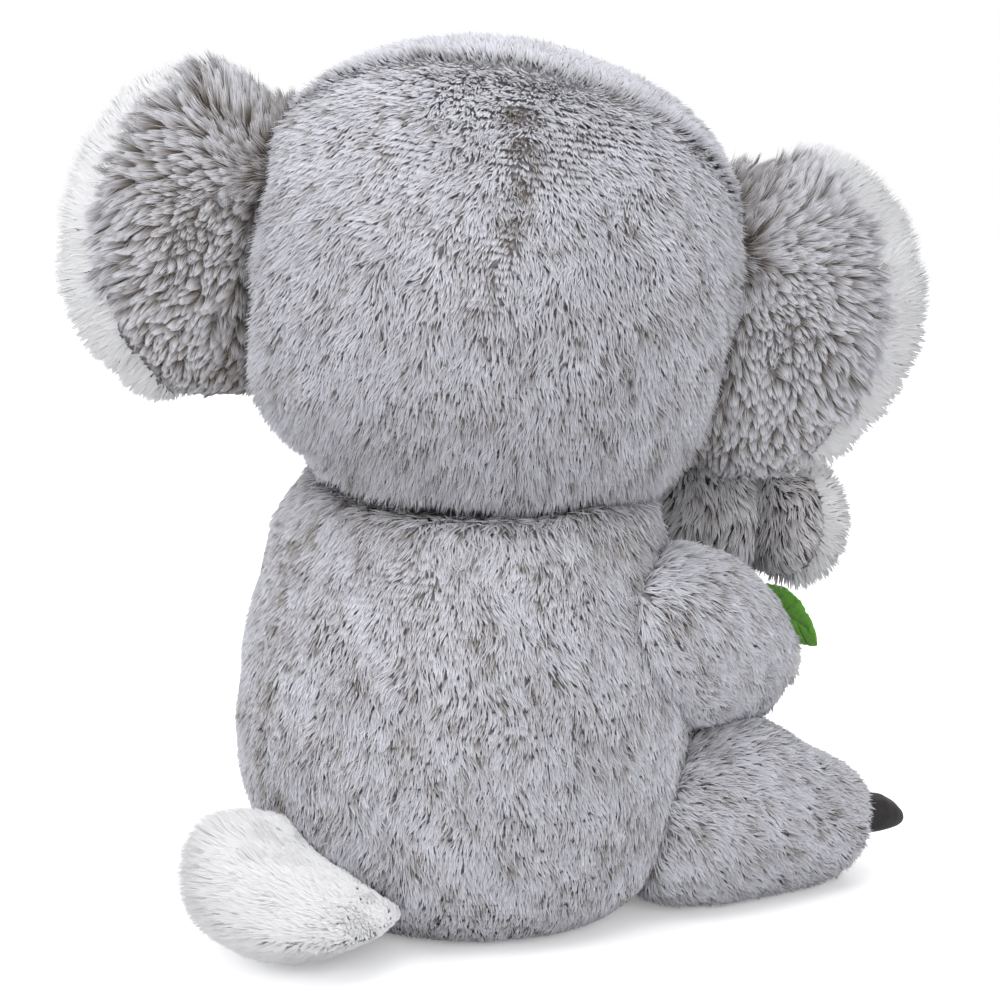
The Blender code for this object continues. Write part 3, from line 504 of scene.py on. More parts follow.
def settle_body(points, normals):
    """The back bulges a little on its left, under the neck and again low down."""
    leaning = np.clip(normals @ LEFT_BEHIND, 0, 1) ** 2
    bulge = 0.0026 * np.exp(-((points[:, 2] - 0.124) / 0.012) ** 2)
    bulge += 0.0032 * np.exp(-((points[:, 2] - 0.050) / 0.026) ** 2)
    return normals * (bulge * leaning)[:, None]


TAIL_HEIGHT, TAIL_REST = 0.049, 0.012


def tail_squeezed(points):
    """The share of the tail above its resting part that is left where the back lies on it."""
    return np.interp(
        points[:, 0],
        (-0.028, -0.018, -0.008, 0.003, 0.010, 0.017, 0.024),
        (0.16, 0.27, 0.38, 0.49, 0.62, 0.83, 1.0),
    )


fuller(body_skin, settle_body)
off_limbs = clear_of(
    0.0003, "arm_cover_left", "arm_cover_right", "leg_cover_left", "leg_cover_right",
    "head_stuffing", "baby_body_cover",
)
off_tail = clear_of(0.0003, "tail_stuffing")


def free_of_others(points):
    """Where nothing lies on the body's cloth. The pile goes on above the squeezed tail."""
    tail_top = TAIL_REST + (TAIL_HEIGHT - TAIL_REST) * tail_squeezed(points)
    return off_limbs(points) & ((points[:, 2] > tail_top) | off_tail(points))


def body_shade(points, normals):
    """Lighter and darker patches, parted pile along the back's two side seams, painted shade under
    the head.
    """
    around = np.abs(np.degrees(np.arctan2(points[:, 0], points[:, 1])))
    at_side = np.exp(-((around - 24) / 5.0) ** 2) * (points[:, 2] > 0.035) * (points[:, 0] > 0)
    blotch = np.clip(0.7 + ripple(points, 0.012, 35), 0, 1.3)
    # Painted shade under the overhanging head, where the body's pile also fans out in dark flecks.
    shade_under_head = np.exp(-((points[:, 2] - 0.127) / 0.010) ** 2)
    return (
        0.13 * ripple(points, 0.022, 5) + 0.10 * ripple(points, 0.007, 6)
        - 0.24 * at_side * blotch - 0.16 * shade_under_head * blotch
    )


def on_belly(points):
    around = np.degrees(np.arctan2(points[:, 1], points[:, 0]))
    return (np.abs(around + 90) < 54) & (points[:, 2] > 0.014)


lined(body_skin, white_backing, on_belly)


def body_rise(points, normals):
    """Laid flatter where it comes out from under the head, and worn short under the seat."""
    under = np.clip((0.022 - points[:, 2]) / 0.022, 0, 1)
    return (
        1.0 + 0.25 * (points[:, 2] > 0.125) - 0.55 * under,
        -18.0 * np.clip((points[:, 2] - 0.118) / 0.012, 0, 1) - 14.0 * under,
    )


body_down = comb_along(0, 0, -1)
body_furs = [
    pile_on(
        "back_pile_" + side_name, body_skin, grey_yarn, BODY_PILE | {"rows": (0, 0, 1)},
        body_down, seed,
        keep=lambda points, normals, side=side: (
            (points[:, 0] * side > 0) & ~on_belly(points) & free_of_others(points)
        ),
        tone=body_shade, extra=body_rise,
    )
    for side_name, side, seed in (("left", 1, 11), ("right", -1, 12))
]
BELLY_PILE = BODY_PILE | {"density": 1.5, "width": 0.00105, "fleck": 0.0, "spots": 0}
body_furs.append(pile_on(
    "belly_pile", body_skin, white_yarn, BELLY_PILE, body_down, 13,
    keep=lambda points, normals: on_belly(points) & free_of_others(points),
))
ride_all("body", body_skin, *body_furs)

# Head. A face panel and two back panels meet on the crown and down the middle of the back of the
# head, where the pile parts and shows its dark roots. It is stuffed hard and sewn to the neck.
HEAD_PLACE = np.array((-0.0078, -0.0034, 0.2005))
HEAD_TURNED = math.radians(41)
HEAD_TILTED = math.radians(-9.5)
turn = np.array((
    (math.cos(HEAD_TURNED), -math.sin(HEAD_TURNED), 0),
    (math.sin(HEAD_TURNED), math.cos(HEAD_TURNED), 0),
    (0, 0, 1),
))
tilt = np.array((
    (math.cos(HEAD_TILTED), 0, math.sin(HEAD_TILTED)),
    (0, 1, 0),
    (-math.sin(HEAD_TILTED), 0, math.cos(HEAD_TILTED)),
))
HEAD_AXES = turn @ tilt
CROWN_SEAM = math.radians(35)


def in_head(points):
    """The points as the head sees them: to its left, backward and upward from its middle."""
    return (points - HEAD_PLACE) @ HEAD_AXES


head_skin = stuffed_skin(
    "head_skin", ("face_panel", "head_back_left", "head_back_right", "head_stuffing"),
    BACKING_CELL, grey_backing,
)


def settle_head(points, normals):
    """The crown is fuller near its ends than in the middle, and the left cheek is flatter."""
    rise = np.interp(
        points @ LEFT_BEHIND + 0.0109,
        (-0.086, -0.076, -0.066, -0.056, -0.045, -0.030, -0.008, 0.020, 0.035, 0.050, 0.062, 0.072),
        (0.0010, 0.0042, 0.0036, 0.0010, -0.0006, -0.0020, -0.0012, -0.0010, 0.0004, 0.0022, 0.0034,
         0.0010),
    )
    rise = rise * np.clip((points[:, 2] - 0.200) / 0.03, 0, 1) * np.clip(normals[:, 2] * 1.5, 0, 1)
    cheek = -0.0042 * np.exp(-((points[:, 2] - 0.150) / 0.012) ** 2)
    cheek = cheek * np.clip(normals @ LEFT_BEHIND, 0, 1)
    return normals * (rise + cheek)[:, None]


fuller(head_skin, settle_head)


def behind_crown(spots):
    """How far each point of the head lies behind the crown seam, in metres."""
    level = spots[:, 1] * math.cos(CROWN_SEAM) - spots[:, 2] * math.sin(CROWN_SEAM)
    return level + 0.0045 + 0.11 * spots[:, 0]


def comb_head(points, normals):
    """Down behind, forward over the face, standing up along the crown seam, and parted behind."""
    spots = in_head(points)
    back = behind_crown(spots) > 0
    upper = np.clip(spots[:, 2] / 0.04 + 0.3, 0, 1)
    ways = np.zeros_like(spots)
    ways[back] = (0, 0.15, -1)
    over_seam = np.clip((behind_crown(spots[~back]) + 0.012) / 0.007, 0, 1)[:, None]
    ways[~back] = over_seam * (0, 1.0, -0.5) + (1 - over_seam) * (0.05, -1.0, -0.25)
    ways[:, 0] += (spots[:, 0] - 0.002) * (2 + 7 * upper)
    return ways @ HEAD_AXES.T


def head_shade(points, normals):
    """Patches, dark roots down the middle seam behind, and a shadow line under the crown seam."""
    spots = in_head(points)
    behind = behind_crown(spots)
    upper = np.clip(spots[:, 2] / 0.045, 0, 1)
    blotch = np.clip(0.6 + ripple(points, 0.010, 33), 0, 1.4)
    aside = spots[:, 0] - 0.0015 - 0.0020 * ripple(points, 0.02, 34)
    parted = np.exp(-(aside / 0.0052) ** 2) * (behind > -0.003) * upper ** 0.7 * blotch
    under_ridge = np.exp(-((behind - 0.003) / 0.0035) ** 2)
    under_ridge = under_ridge * np.clip(0.5 + spots[:, 0] / 0.05, 0.15, 1)
    mottled = np.exp(-((behind - 0.013) / 0.012) ** 2)
    mottled = mottled * np.clip(0.6 + spots[:, 0] / 0.04, 0, 1) * blotch
    return (
        0.11 * ripple(points, 0.020, 7) + 0.10 * ripple(points, 0.007, 8)
        - 0.50 * parted - 0.06 * under_ridge * (spots[:, 2] > 0.02) + 0.09 * upper - 0.04 * mottled
    )


def head_rise(points, normals):
    """Shorter and higher where it parts, and standing up along the crown seam."""
    spots = in_head(points)
    behind = behind_crown(spots)
    parted = np.exp(-((spots[:, 0] - 0.002) / 0.005) ** 2) * (behind > 0) * (spots[:, 2] > 0.0)
    turning = np.exp(-((behind + 0.0085) / 0.003) ** 2) * (spots[:, 2] > 0.0)
    ridge = np.exp(-((behind + 0.001) / 0.003) ** 2) * (spots[:, 2] > 0.0)
    return 1.0 - 0.15 * parted, 10.0 * parted + 40.0 * turning + 8.0 * ridge


free_of_head_parts = clear_of(0.0006, "muzzle_panel", "ear_back_left", "ear_back_right", "nose")
off_eyes = clear_of(0.0026, "eye_left", "eye_right")
NECK_TOP, NECK_RADIUS = 0.155, 0.045
HEAD_PILE = BODY_PILE | {"rows": tuple(HEAD_AXES[:, 2]), "fleck": 0.05}


def on_bare_head(points):
    """Where neither the neck nor a part of the face or an ear is in the way of the head's pile."""
    off_neck = (points[:, 2] > NECK_TOP) | (np.hypot(points[:, 0], points[:, 1]) > NECK_RADIUS)
    return free_of_head_parts(points) & off_eyes(points) & off_neck


head_furs = []
for part_name, seed, part in (
    ("crown_pile_left", 20, lambda spots: (behind_crown(spots) < 0) & (spots[:, 0] > 0)),
    ("crown_pile_right", 21, lambda spots: (behind_crown(spots) < 0) & (spots[:, 0] <= 0)),
    ("head_pile_left", 22, lambda spots: (behind_crown(spots) >= 0) & (spots[:, 0] > 0)),
    ("head_pile_right", 23, lambda spots: (behind_crown(spots) >= 0) & (spots[:, 0] <= 0)),
):
    head_furs.append(pile_on(
        part_name, head_skin, grey_yarn, HEAD_PILE | {"free": part_name.startswith("head")},
        comb_head, seed,
        keep=lambda points, normals: part(in_head(points)) & on_bare_head(points),
        tone=head_shade, extra=head_rise,
    ))
ride_all("head", head_skin, *head_furs)

# Muzzle. A small mound of white pile over a little stuffing, sewn round its edge to the middle of
# the face panel, with the nose on it.
muzzle_skin = stuffed_skin("muzzle_skin", ("muzzle_panel",), 0.0020, white_backing)
MUZZLE_PILE = {
    "density": 2.7, "length": 0.006, "lift": 25, "width": 0.00060, "lock": 1.6, "pull": 0.4,
    "fleck": 0.0,
}
MUZZLE_MIDDLE = (0, 0, -0.012)


def comb_muzzle(points, normals):
    """Outward from the middle, and down."""
    return (in_head(points) * (1, 0, 1) - MUZZLE_MIDDLE) @ HEAD_AXES.T * 40 + (0, 0, -0.6)


off_nose = clear_of(0.0006, "nose", "head_stuffing", "face_panel")
muzzle_fur = pile_on(
    "muzzle_pile", muzzle_skin, white_yarn, MUZZLE_PILE, comb_muzzle, 31,
    keep=lambda points, normals: off_nose(points),
)
ride_all("head", muzzle_skin, muzzle_fur)

# Ears. Two pillow halves, dark shaggy pile behind and long white pile in front, meet in a seam
# round the rim and are sewn into the side of the head.
EAR = ((0.075, 0.058, 0.045), (0.37, 0.36, 0.365), (0.80, 0.805, 0.87))
EAR_SHADED = ((0.030, 0.022, 0.015), (0.120, 0.102, 0.088), (0.42, 0.41, 0.42))
EAR_PILE = {
    "density": 4.8, "length": 0.0108, "lift": 40, "width": 0.00046, "lock": 2.2, "pull": 0.66,
    "fleck": 0.16, "spots": 0.3, "start": 0.15,
}
RIM_PILE = {
    "density": 3.4, "length": 0.0054, "lift": 26, "width": 0.00110, "lock": 1.3, "pull": 0.10,
    "fleck": 0.0, "stray": 0.05, "uneven": 0.12, "free": True, "turned": 1.5, "swirl": 0.05,
    "start": 0.25,
}
EAR_SEAM = -0.0720 * 0.06
EAR_REACH = (34, 0, 22)
HALF_EAR = 0.03
# Of each ear: which side, its seed, how far the white shows past the seam low down and high up, its
# tone, how worn and how dark it is, how much its rim swells, and how its inner corner is pressed
# The right ear's tone is set higher as painted light, since more light falls on that ear.
EARS = (
    {"name": "left", "side": 1, "seed": 41, "white_below": 0.005, "white_above": 0, "tone": 0.02,
     "worn": 0.27, "dark_above": 0.06, "swell": 0.0012, "swell_below": 0.0034,
     "swell_above": 0.0014, "pressed": 0.0068},
    {"name": "right", "side": -1, "seed": 51, "white_below": -0.013, "white_above": 0.008,
     "tone": 0.19, "worn": 0.02, "dark_above": 0, "swell": 0.0054, "swell_below": -0.0048,
     "swell_above": 0.0022, "pressed": 0.0034},
)
ear_yarn = pile_yarn("ear_yarn", EAR_SHADED, EAR)
away_from_head = clear_of(
    0.0010, "head_stuffing", "head_back_left", "head_back_right", "face_panel",
)
for ear in EARS:
    side_name, side = ear["name"], ear["side"]
    ear_nodes = ("ear_back_" + side_name, "ear_front_" + side_name)
    ear_skin = stuffed_skin("ear_skin_" + side_name, ear_nodes, 0.0022, grey_backing)
    ear_middle = np.array((side * 0.0935, EAR_SEAM, 0.0020))

    def in_ear(points):
        return in_head(points) - ear_middle

    def above_and_below(heights):
        """How far up the upper half of the ear, and how far down the lower one, from 0 to 1."""
        return np.clip(heights / HALF_EAR, 0, 1), np.clip(-heights / HALF_EAR, 0, 1)

    def outer_side(points):
        """1 on the ear's side away from the head, where white shows past the seam, else 0."""
        spots = in_ear(points)
        above, below = above_and_below(spots[:, 2])
        past = below * ear["white_below"] + above * ear["white_above"]
        return np.clip((spots[:, 0] * side + 0.001 + past) / 0.011, 0, 1)

    def comb_rim(points, normals):
        """Outward over the front and round the rim, up above and down below."""
        spots = in_ear(points)
        across = np.clip(0.45 + spots[:, 0] * side / 0.022, 0.25, 1.3)
        up = np.clip((spots[:, 2] + 0.003) / 0.024, -1.3, 1.3)
        return np.stack([across * side, np.full(len(spots), -0.1), up], axis=1) @ HEAD_AXES.T

    def comb_ear(points, normals):
        """Outward over the back, and down but for the top."""
        spots = in_ear(points)
        across = np.clip(0.50 + spots[:, 0] * side / 0.022, 0.30, 1.3)
        up = np.clip((spots[:, 2] - 0.014) / 0.024, -1.1, 1.1)
        return np.stack([across * side, np.zeros(len(spots)), up - 0.30], axis=1) @ HEAD_AXES.T

    def rim_rise(points, normals):
        """Shorter along the seam on the side of the head."""
        at_seam = np.clip((in_ear(points)[:, 1] + 0.006) / 0.005, 0, 1)
        return 1 - 0.55 * at_seam * (1 - outer_side(points)), np.zeros(len(points))

    def ear_shade(points, normals):
        """Painted shade in the crease by the head, and darker at the edge and where it is worn thin
        in the middle.
        """
        spots = in_ear(points)
        edge = np.clip((np.linalg.norm(spots * EAR_REACH, axis=1) - 0.45) * 2.2, 0, 1)
        # Painted shade in the crease where the ear meets the head, over browner roots.
        shaded_crease_by_head = np.clip((-spots[:, 0] * side - 0.008) / 0.012, 0, 1)
        worn = np.exp(-((spots[:, 0] - side * 0.003) / 0.011) ** 2 - (spots[:, 2] / 0.022) ** 2)
        return (
            0.06 * ripple(points, 0.012, 9) + 0.06 * ripple(points, 0.005, 10) + ear["tone"]
            - ear["worn"] * worn - 0.16 * edge - 0.62 * shaded_crease_by_head
            - ear["dark_above"] * above_and_below(spots[:, 2])[0]
        )

    def ear_rise(points, normals):
        """Longest at the edge, shorter and higher in the middle, laid flat at the bottom."""
        spots = in_ear(points)
        edge = np.clip((np.linalg.norm(spots * EAR_REACH, axis=1) - 0.40) * 2.0, 0, 1)
        worn = np.exp(-(spots[:, 0] / 0.012) ** 2 - (spots[:, 2] / 0.024) ** 2)
        below = np.clip((-spots[:, 2] - 0.016) / 0.018, 0, 1)
        longer = (0.55 + 0.45 * edge) * (1 - 0.55 * below) * (1 - 0.45 * worn)
        return longer, 22 * worn - 14 * (1 - edge) - 20 * below

    def swell_rim(points, normals):
        """The white front bulges past the seam, and the inner upper corner is pressed down."""
        spots = in_head(points)
        outward = (spots - ear_middle) * (1, 0, 1)
        reach = np.linalg.norm(outward, axis=1, keepdims=True)
        front = np.clip((EAR_SEAM + 0.0010 - spots[:, 1:2]) / 0.0008, 0, 1)
        above, below = above_and_below(outward[:, 2:])
        amount = ear["swell"] + ear["swell_below"] * below + ear["swell_above"] * above
        amount = amount * front * np.clip(reach / 0.012 - 0.6, 0, 1) * outer_side(points)[:, None]
        inner = np.clip(-outward[:, :1] * side / 0.012, 0, 1)
        pressed = inner * np.clip((outward[:, 2:] - 0.014) / 0.014, 0, 1) * ear["pressed"]
        return (unit(outward) * amount - (0, 0, 1) * pressed) @ HEAD_AXES.T

    fuller(ear_skin, swell_rim)
    off_back_panel = clear_of(0.0020, "ear_back_" + side_name)

    def is_grey(points):
        """Behind the seam, which is the back panel's cloth."""
        outer = outer_side(points)
        behind = in_head(points)[:, 1] > EAR_SEAM + 0.0012 - 0.0036 * (1 - outer)
        return behind & ((outer < 0.5) | ~off_back_panel(points))

    lined(ear_skin, white_backing, lambda points: ~is_grey(points))
    back_fur = pile_on(
        "ear_back_pile_" + side_name, ear_skin, ear_yarn, EAR_PILE, comb_ear, ear["seed"],
        keep=lambda points, normals: is_grey(points) & away_from_head(points),
        tone=ear_shade, extra=ear_rise,
    )
    rim_fur = pile_on(
        "ear_front_pile_" + side_name, ear_skin, white_yarn, RIM_PILE, comb_rim, ear["seed"] + 1,
        keep=lambda points, normals: ~is_grey(points) & away_from_head(points), extra=rim_rise,
    )
    ride_all("ear_" + side_name, ear_skin, back_fur, rim_fur)

# Arms and legs. Each is a curved tube of the grey cloth, gathered over its stuffing and sewn into
# the side of the body.
LIMB_PILE = BODY_PILE | {"length": 0.0056, "lift": 30}


def limb_shade(points, normals):
    return 0.12 * ripple(points, 0.018, 14) + 0.09 * ripple(points, 0.006, 15) + 0.03


def settled(kind):
    """The arm sags on to the leg, and the leg slopes down to its toes."""
    def push(points, normals):
        pushes = np.zeros_like(points)
        if kind == "arm":
            beneath = np.clip((0.085 - points[:, 2]) / 0.02, 0, 1)
            pushes[:, 2] = -0.0030 * beneath * (points[:, 1] > -0.075)
        else:
            forward = np.clip((-0.062 - points[:, 1]) / 0.030, 0, 1)
            knee = np.exp(-((points[:, 1] + 0.056) / 0.018) ** 2)
            pushes[:, 2] = np.clip(points[:, 2] - 0.022, 0, None) * (0.26 * knee - 0.26 * forward)
        return pushes

    return push


off_body = clear_of(
    0.0002, "body_back_left", "body_back_right", "belly_panel", "seat_panel", "body_stuffing",
)
for kind, way, claw_name, later, start, end in (
    ("arm", (-0.55, -0.8), "hand_claw_", 0, (0.0690, 0.0187, 0.0992), (0.0690, -0.045, 0.0992)),
    ("leg", (-0.75, -0.6), "foot_claw_", 2, (0.0713, 0.0095, 0.0280), (0.0780, -0.050, 0.0280)),
):
    for side_name, side, seed in (("left", 1, 61), ("right", -1, 71)):
        limb_skin = stuffed_skin(
            kind + "_skin_" + side_name,
            (kind + "_cover_" + side_name, kind + "_stuffing_" + side_name), 0.0025, grey_backing,
        )
        fuller(limb_skin, settled(kind))
        claws = [claw_name + side_name + "_" + str(number) for number in (1, 2, 3)]
        off_claws = clear_of(0.0013, *claws)
        limb_fur = pile_on(
            kind + "_pile_" + side_name, limb_skin, grey_yarn, LIMB_PILE,
            comb_along(side * 0.2, *way), seed + later,
            keep=lambda points, normals: off_body(points) & off_claws(points), tone=limb_shade,
        )
        for piece in (limb_skin, limb_fur):
            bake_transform(piece)

# Tail. A stuffed tuft of the longest white pile, sewn low on the middle of the back. It lies on
# the floor, and the back presses its right-hand part down.
tail_skin = stuffed_skin("tail_skin", ("tail_cover", "tail_stuffing"), 0.0025, white_backing)
TAIL_PILE = {
    "density": 4.0, "length": 0.0080, "lift": 22, "width": 0.00112, "lock": 1.8, "pull": 0.16,
    "fleck": 0.0, "stray": 0.05, "uneven": 0.08, "swirl": 0.08, "free": True, "turned": 1.7,
    "start": 0.2,
}
TAIL_ROOT = np.array((-0.012, 0.046, 0.012))
TAIL_SET = np.array((0.35, 0.15, 0.3))


def tail_rise(points, normals):
    """Longest at the tip, shorter beneath and at the root."""
    swept = np.clip(0.75 + normals @ np.array((0.20, 0.12, 0.30)), 0.45, 1.08)
    at_root = np.clip((points[:, 1] - 0.060) / 0.030, 0.5, 1)
    return swept * at_root, np.zeros(len(points))


def swell_tail(points, normals):
    """Fuller at the tip, and pressed down in a slope where the back rests on it."""
    pushes = (normals * 0.0016 + TAIL_SET * 0.0020) * tail_rise(points, normals)[0][:, None]
    to_left = np.clip((points[:, 0] - 0.008) / 0.012, 0, 1)
    pushes[:, 2] += 0.0035 * to_left * np.clip((points[:, 2] - 0.026) / 0.012, 0, 1)
    above = np.clip(points[:, 2] + pushes[:, 2] - TAIL_REST, 0, None)
    pushes[:, 2] -= (1 - tail_squeezed(points)) * above
    return pushes


def comb_tail(points, normals):
    """Away from the root, and a little backward and up."""
    return unit(points - TAIL_ROOT) + (0, 0.22, 0.06)


fuller(tail_skin, swell_tail)
tail_fur = pile_on(
    "tail_pile", tail_skin, white_yarn, TAIL_PILE, comb_tail, 81,
    keep=lambda points, normals: off_body(points),
    tone=lambda points, normals: 0.08 * ripple(points, 0.012, 16) - 0.14, extra=tail_rise,
)
for piece in (tail_skin, tail_fur):
    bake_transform(piece)

# Baby koala. It sits in the lap with its back to the belly. Its body, limbs and head are of the
# same cloth in dark grey, and its ears have white pile in front.
BABY = ((0.21, 0.185, 0.165), (0.62, 0.61, 0.63), (0.84, 0.84, 0.88))
BABY_SHADED = ((0.070, 0.056, 0.046), (0.27, 0.24, 0.225), (0.58, 0.57, 0.58))
BABY_PILE = {
    "density": 2.1, "length": 0.0062, "lift": 28, "width": 0.00064, "lock": 1.5, "pull": 0.5,
    "fleck": 0.2, "spots": 0.3, "start": 0.2,
}
BABY_EAR_SEAM = -0.105 - 0.027 * 0.06
baby_backing = knit_backing("baby_backing", (0.09, 0.085, 0.085))
baby_yarn = pile_yarn("baby_yarn", BABY_SHADED, BABY)


def baby_shade(points, normals):
    return 0.12 * ripple(points, 0.010, 17) - 0.03


baby_pieces = [
    ("baby_body_skin", ("baby_body_cover", "baby_body_stuffing"), "body", (0, -0.2, -1), 91,
     ("body_stuffing", "belly_panel", "baby_head_stuffing", "baby_arm_left", "baby_arm_right",
      "baby_leg_left", "baby_leg_right", "arm_stuffing_left", "arm_stuffing_right")),
    ("baby_head_skin", ("baby_head_cover", "baby_head_stuffing"), "baby_head", (0, 0.1, -1), 92,
     ("baby_body_stuffing", "baby_ear_back_left", "baby_ear_back_right", "baby_nose")),
]
for kind, way, seed in (("arm", (0, -0.6, -0.6), 93), ("leg", (0, -1, 0.1), 95)):
    for side_name, step in (("left", 0), ("right", 1)):
        node = "baby_" + kind + "_" + side_name
        baby_pieces.append(
            (node + "_skin", (node,), "body", way, seed + step, ("baby_body_stuffing",)),
        )
off_baby_eyes = clear_of(0.0016, "baby_eye_left", "baby_eye_right")
for skin_name, nodes, body, way, seed, others in baby_pieces:
    baby_skin = stuffed_skin(skin_name, nodes, 0.0014 if len(nodes) == 1 else 0.0020, baby_backing)
    apart = clear_of(0.0006, *others)
    baby_fur = pile_on(
        skin_name.replace("skin", "pile"), baby_skin, baby_yarn, BABY_PILE, comb_along(*way), seed,
        keep=lambda points, normals: apart(points) & off_baby_eyes(points), tone=baby_shade,
    )
    ride_all(body, baby_skin, baby_fur)
for side_name, side, seed in (("left", 1, 101), ("right", -1, 103)):
    nodes = ("baby_ear_back_" + side_name, "baby_ear_front_" + side_name)
    baby_ear = stuffed_skin("baby_ear_skin_" + side_name, nodes, 0.0013, baby_backing)
    ear_middle = np.array((-0.019 + side * 0.035, -0.1066, 0.117))

    def comb_baby_ear(points, normals):
        """Outward at the rim, and down in the middle."""
        outward = (points - ear_middle) * (1, 0, 1)
        reach = np.clip(np.linalg.norm(outward, axis=1, keepdims=True) / 0.011, 0, 1) ** 2
        return unit(outward) * reach + np.array((0, 0, -1.0)) * (1.15 - reach)

    def swell_baby_rim(points, normals):
        """The white front bulges past the seam on the outer side."""
        outward = (points - ear_middle) * (1, 0, 1)
        reach = np.linalg.norm(outward, axis=1, keepdims=True)
        front = np.clip((BABY_EAR_SEAM + 0.0006 - points[:, 1:2]) / 0.0006, 0, 1)
        outer = np.clip((outward[:, :1] * side + 0.004) / 0.010, 0, 1)
        return unit(outward) * 0.0024 * front * outer * np.clip(reach / 0.006 - 0.6, 0, 1)

    fuller(baby_ear, swell_baby_rim)
    off_baby_back = clear_of(0.0016, "baby_ear_back_" + side_name)

    def is_dark(points):
        return (points[:, 1] > BABY_EAR_SEAM + 0.0006) & ~off_baby_back(points)

    def comb_baby_back(points, normals):
        return comb_baby_ear(points, normals) * 0.5 + (side * 0.25, 0, -0.7)

    lined(baby_ear, white_backing, lambda points: ~is_dark(points))
    apart = clear_of(0.0006, "baby_head_stuffing", "baby_head_cover")
    back_fur = pile_on(
        "baby_ear_back_pile_" + side_name, baby_ear, baby_yarn, BABY_PILE | {"length": 0.0052},
        comb_baby_back, seed,
        keep=lambda points, normals: is_dark(points) & apart(points), tone=baby_shade,
    )
    rim_fur = pile_on(
        "baby_ear_front_pile_" + side_name, baby_ear, white_yarn, RIM_PILE | {"length": 0.0056},
        comb_baby_ear, seed + 1,
        keep=lambda points, normals: ~is_dark(points) & apart(points),
    )
    ride_all("baby_ear_" + side_name, baby_ear, back_fur, rim_fur)

# Nose and claws. Small stuffed horns and a long oval nose, each cut from dark soft suede, turned
# and sewn to the end of its paw or to the muzzle.


def napped(name, finish, grains, shades, raised):
    """A short-napped cloth in two shades, whose grain catches the light."""
    cloth = bpy.data.materials.new(name)
    cloth.use_nodes = True
    nodes, links = cloth.node_tree.nodes, cloth.node_tree.links
    shader = nodes["Principled BSDF"]
    for quality, value in finish.items():
        shader.inputs[quality].default_value = value
    place = nodes.new("ShaderNodeTexCoord")
    noises = []
    for scale, detail in grains:
        noise = nodes.new("ShaderNodeTexNoise")
        noise.inputs["Scale"].default_value = scale
        noise.inputs["Detail"].default_value = detail
        links.new(place.outputs["Object"], noise.inputs["Vector"])
        noises.append(noise)
    ramp = nodes.new("ShaderNodeValToRGB")
    for stop, (position, colour) in zip(ramp.color_ramp.elements, shades):
        stop.position = position
        stop.color = (*colour, 1)
    bump = nodes.new("ShaderNodeBump")
    bump.inputs["Strength"].default_value, bump.inputs["Distance"].default_value = raised
    links.new(noises[0].outputs["Fac"], bump.inputs["Height"])
    links.new(noises[-1].outputs["Fac"], ramp.inputs["Fac"])
    links.new(ramp.outputs["Color"], shader.inputs["Base Color"])
    links.new(bump.outputs["Normal"], shader.inputs["Normal"])
    return cloth


suede = napped(
    "suede",
    {"Roughness": 0.72, "Specular IOR Level": 0.25, "Sheen Weight": 0.06, "Sheen Roughness": 0.4},
    ((1400, 4), (160, 2)),
    ((0.3, (0.0065, 0.0055, 0.0055)), (0.75, (0.019, 0.0165, 0.0165))),
    (0.35, 0.0003),
)


def rounded_copy(node, cell, finish, body, fuller_by=0.0):
    """The node's shape again, finer and rounder, in its real finish."""
    piece = bpy.data.objects.new(node + "_sewn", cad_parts[node].data.copy())
    rounded(piece, cell, 6)
    fuller(piece, lambda points, normals: normals * fuller_by)
    piece.data.materials.clear()
    piece.data.materials.append(finish)
    piece.data.shade_smooth()
    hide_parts(node)
    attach(piece, body)
    return piece


for kind, paw in (("arm", "hand"), ("leg", "foot")):
    for side_name in ("left", "right"):
        for number in (1, 2, 3):
            claw = rounded_copy(
                paw + "_claw_" + side_name + "_" + str(number), 0.0007, suede,
                kind + "_" + side_name, fuller_by=0.0010,
            )
rounded_copy("nose", 0.0009, suede, "head")
rounded_copy("baby_nose", 0.0006, suede, "baby_head")

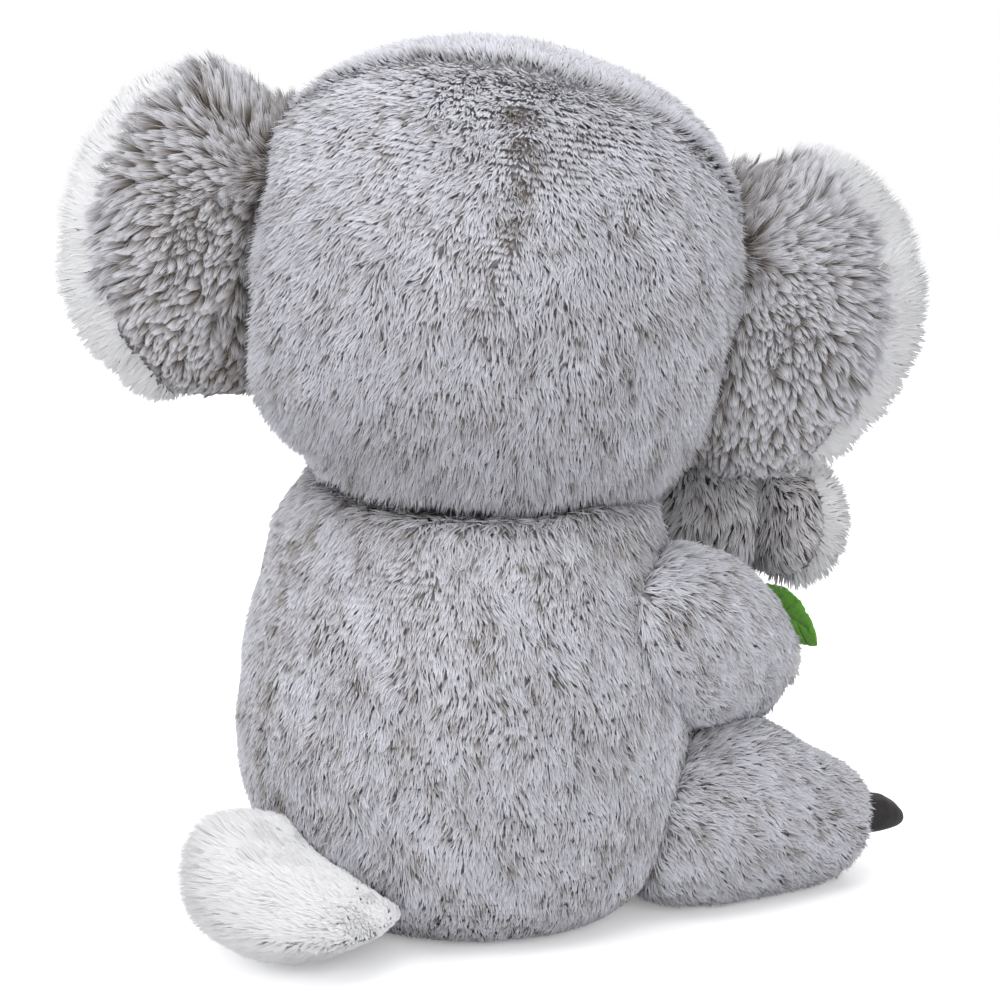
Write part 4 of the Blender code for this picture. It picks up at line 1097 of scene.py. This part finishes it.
# Eyes. Polished domes of black moulded plastic. The mother's two have a shank that passes through
# the cloth to a washer inside, and the baby's two are small and sewn on.
eye_gloss = bpy.data.materials.new("eye_gloss")
eye_gloss.use_nodes = True
eye_shader = eye_gloss.node_tree.nodes["Principled BSDF"]
eye_shader.inputs["Base Color"].default_value = (0.004, 0.003, 0.0025, 1)
eye_shader.inputs["Roughness"].default_value = 0.06
eye_shader.inputs["Specular IOR Level"].default_value = 0.4
for eye_node, body, cell in (
    ("eye_left", "head", 0.0004), ("eye_right", "head", 0.0004),
    ("baby_eye_left", "baby_head", 0.0003), ("baby_eye_right", "baby_head", 0.0003),
):
    rounded_copy(eye_node, cell, eye_gloss, body)
washer_plastic = bpy.data.materials.new("washer_plastic_moulded")
washer_plastic.use_nodes = True
washer_shader = washer_plastic.node_tree.nodes["Principled BSDF"]
washer_shader.inputs["Base Color"].default_value = (0.6, 0.6, 0.58, 1)
for side_name in ("left", "right"):
    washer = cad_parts["eye_washer_" + side_name]
    washer.data.materials.clear()
    washer.data.materials.append(washer_plastic)

# Leaf. Two layers of green velboa sewn edge to edge round a little filling, on a thin stem that the
# baby holds.
velboa = napped(
    "green_velboa", {"Roughness": 0.85, "Sheen Weight": 0.4}, ((2200, 2),),
    ((0.32, (0.075, 0.26, 0.016)), (0.68, (0.15, 0.44, 0.034))), (0.5, 0.0004),
)
leaf = rounded_copy("leaf", 0.0004, velboa, "leaf")
leaf_low, leaf_high = (np.array(corner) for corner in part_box("leaf"))
leaf_points = np.array([vert.co for vert in leaf.data.vertices])
midrib_x = np.linspace(leaf_low[0] + 0.001, leaf_high[0] - 0.001, 14)
midrib_z = []
for x in midrib_x:
    across_leaf = leaf_points[np.abs(leaf_points[:, 0] - x) < 0.0012, 2]
    midrib_z.append((across_leaf.min() + across_leaf.max()) / 2)
VEINS_ALONG = (0.007, 0.013, 0.019, 0.025)
STITCH_DEPTH = 0.0009


def stitch_leaf(points, normals):
    """Draws the cloth in along the stitched midrib and its pairs of veins."""
    aside = np.abs(points[:, 2] - np.interp(points[:, 0], midrib_x, midrib_z))
    along = leaf_high[0] - points[:, 0]
    depth = 0.9 * np.exp(-(aside / 0.0007) ** 2) * (along < 0.031)
    for vein in VEINS_ALONG:
        drawn = 0.6 * np.exp(-((along - 0.8 * aside - vein) / 0.0006) ** 2) * (aside < 0.007)
        depth = np.maximum(depth, drawn)
    return -normals * (STITCH_DEPTH * depth)[:, None]


fuller(leaf, stitch_leaf)
rounded_copy("leaf_stem", 0.0005, velboa, "body")
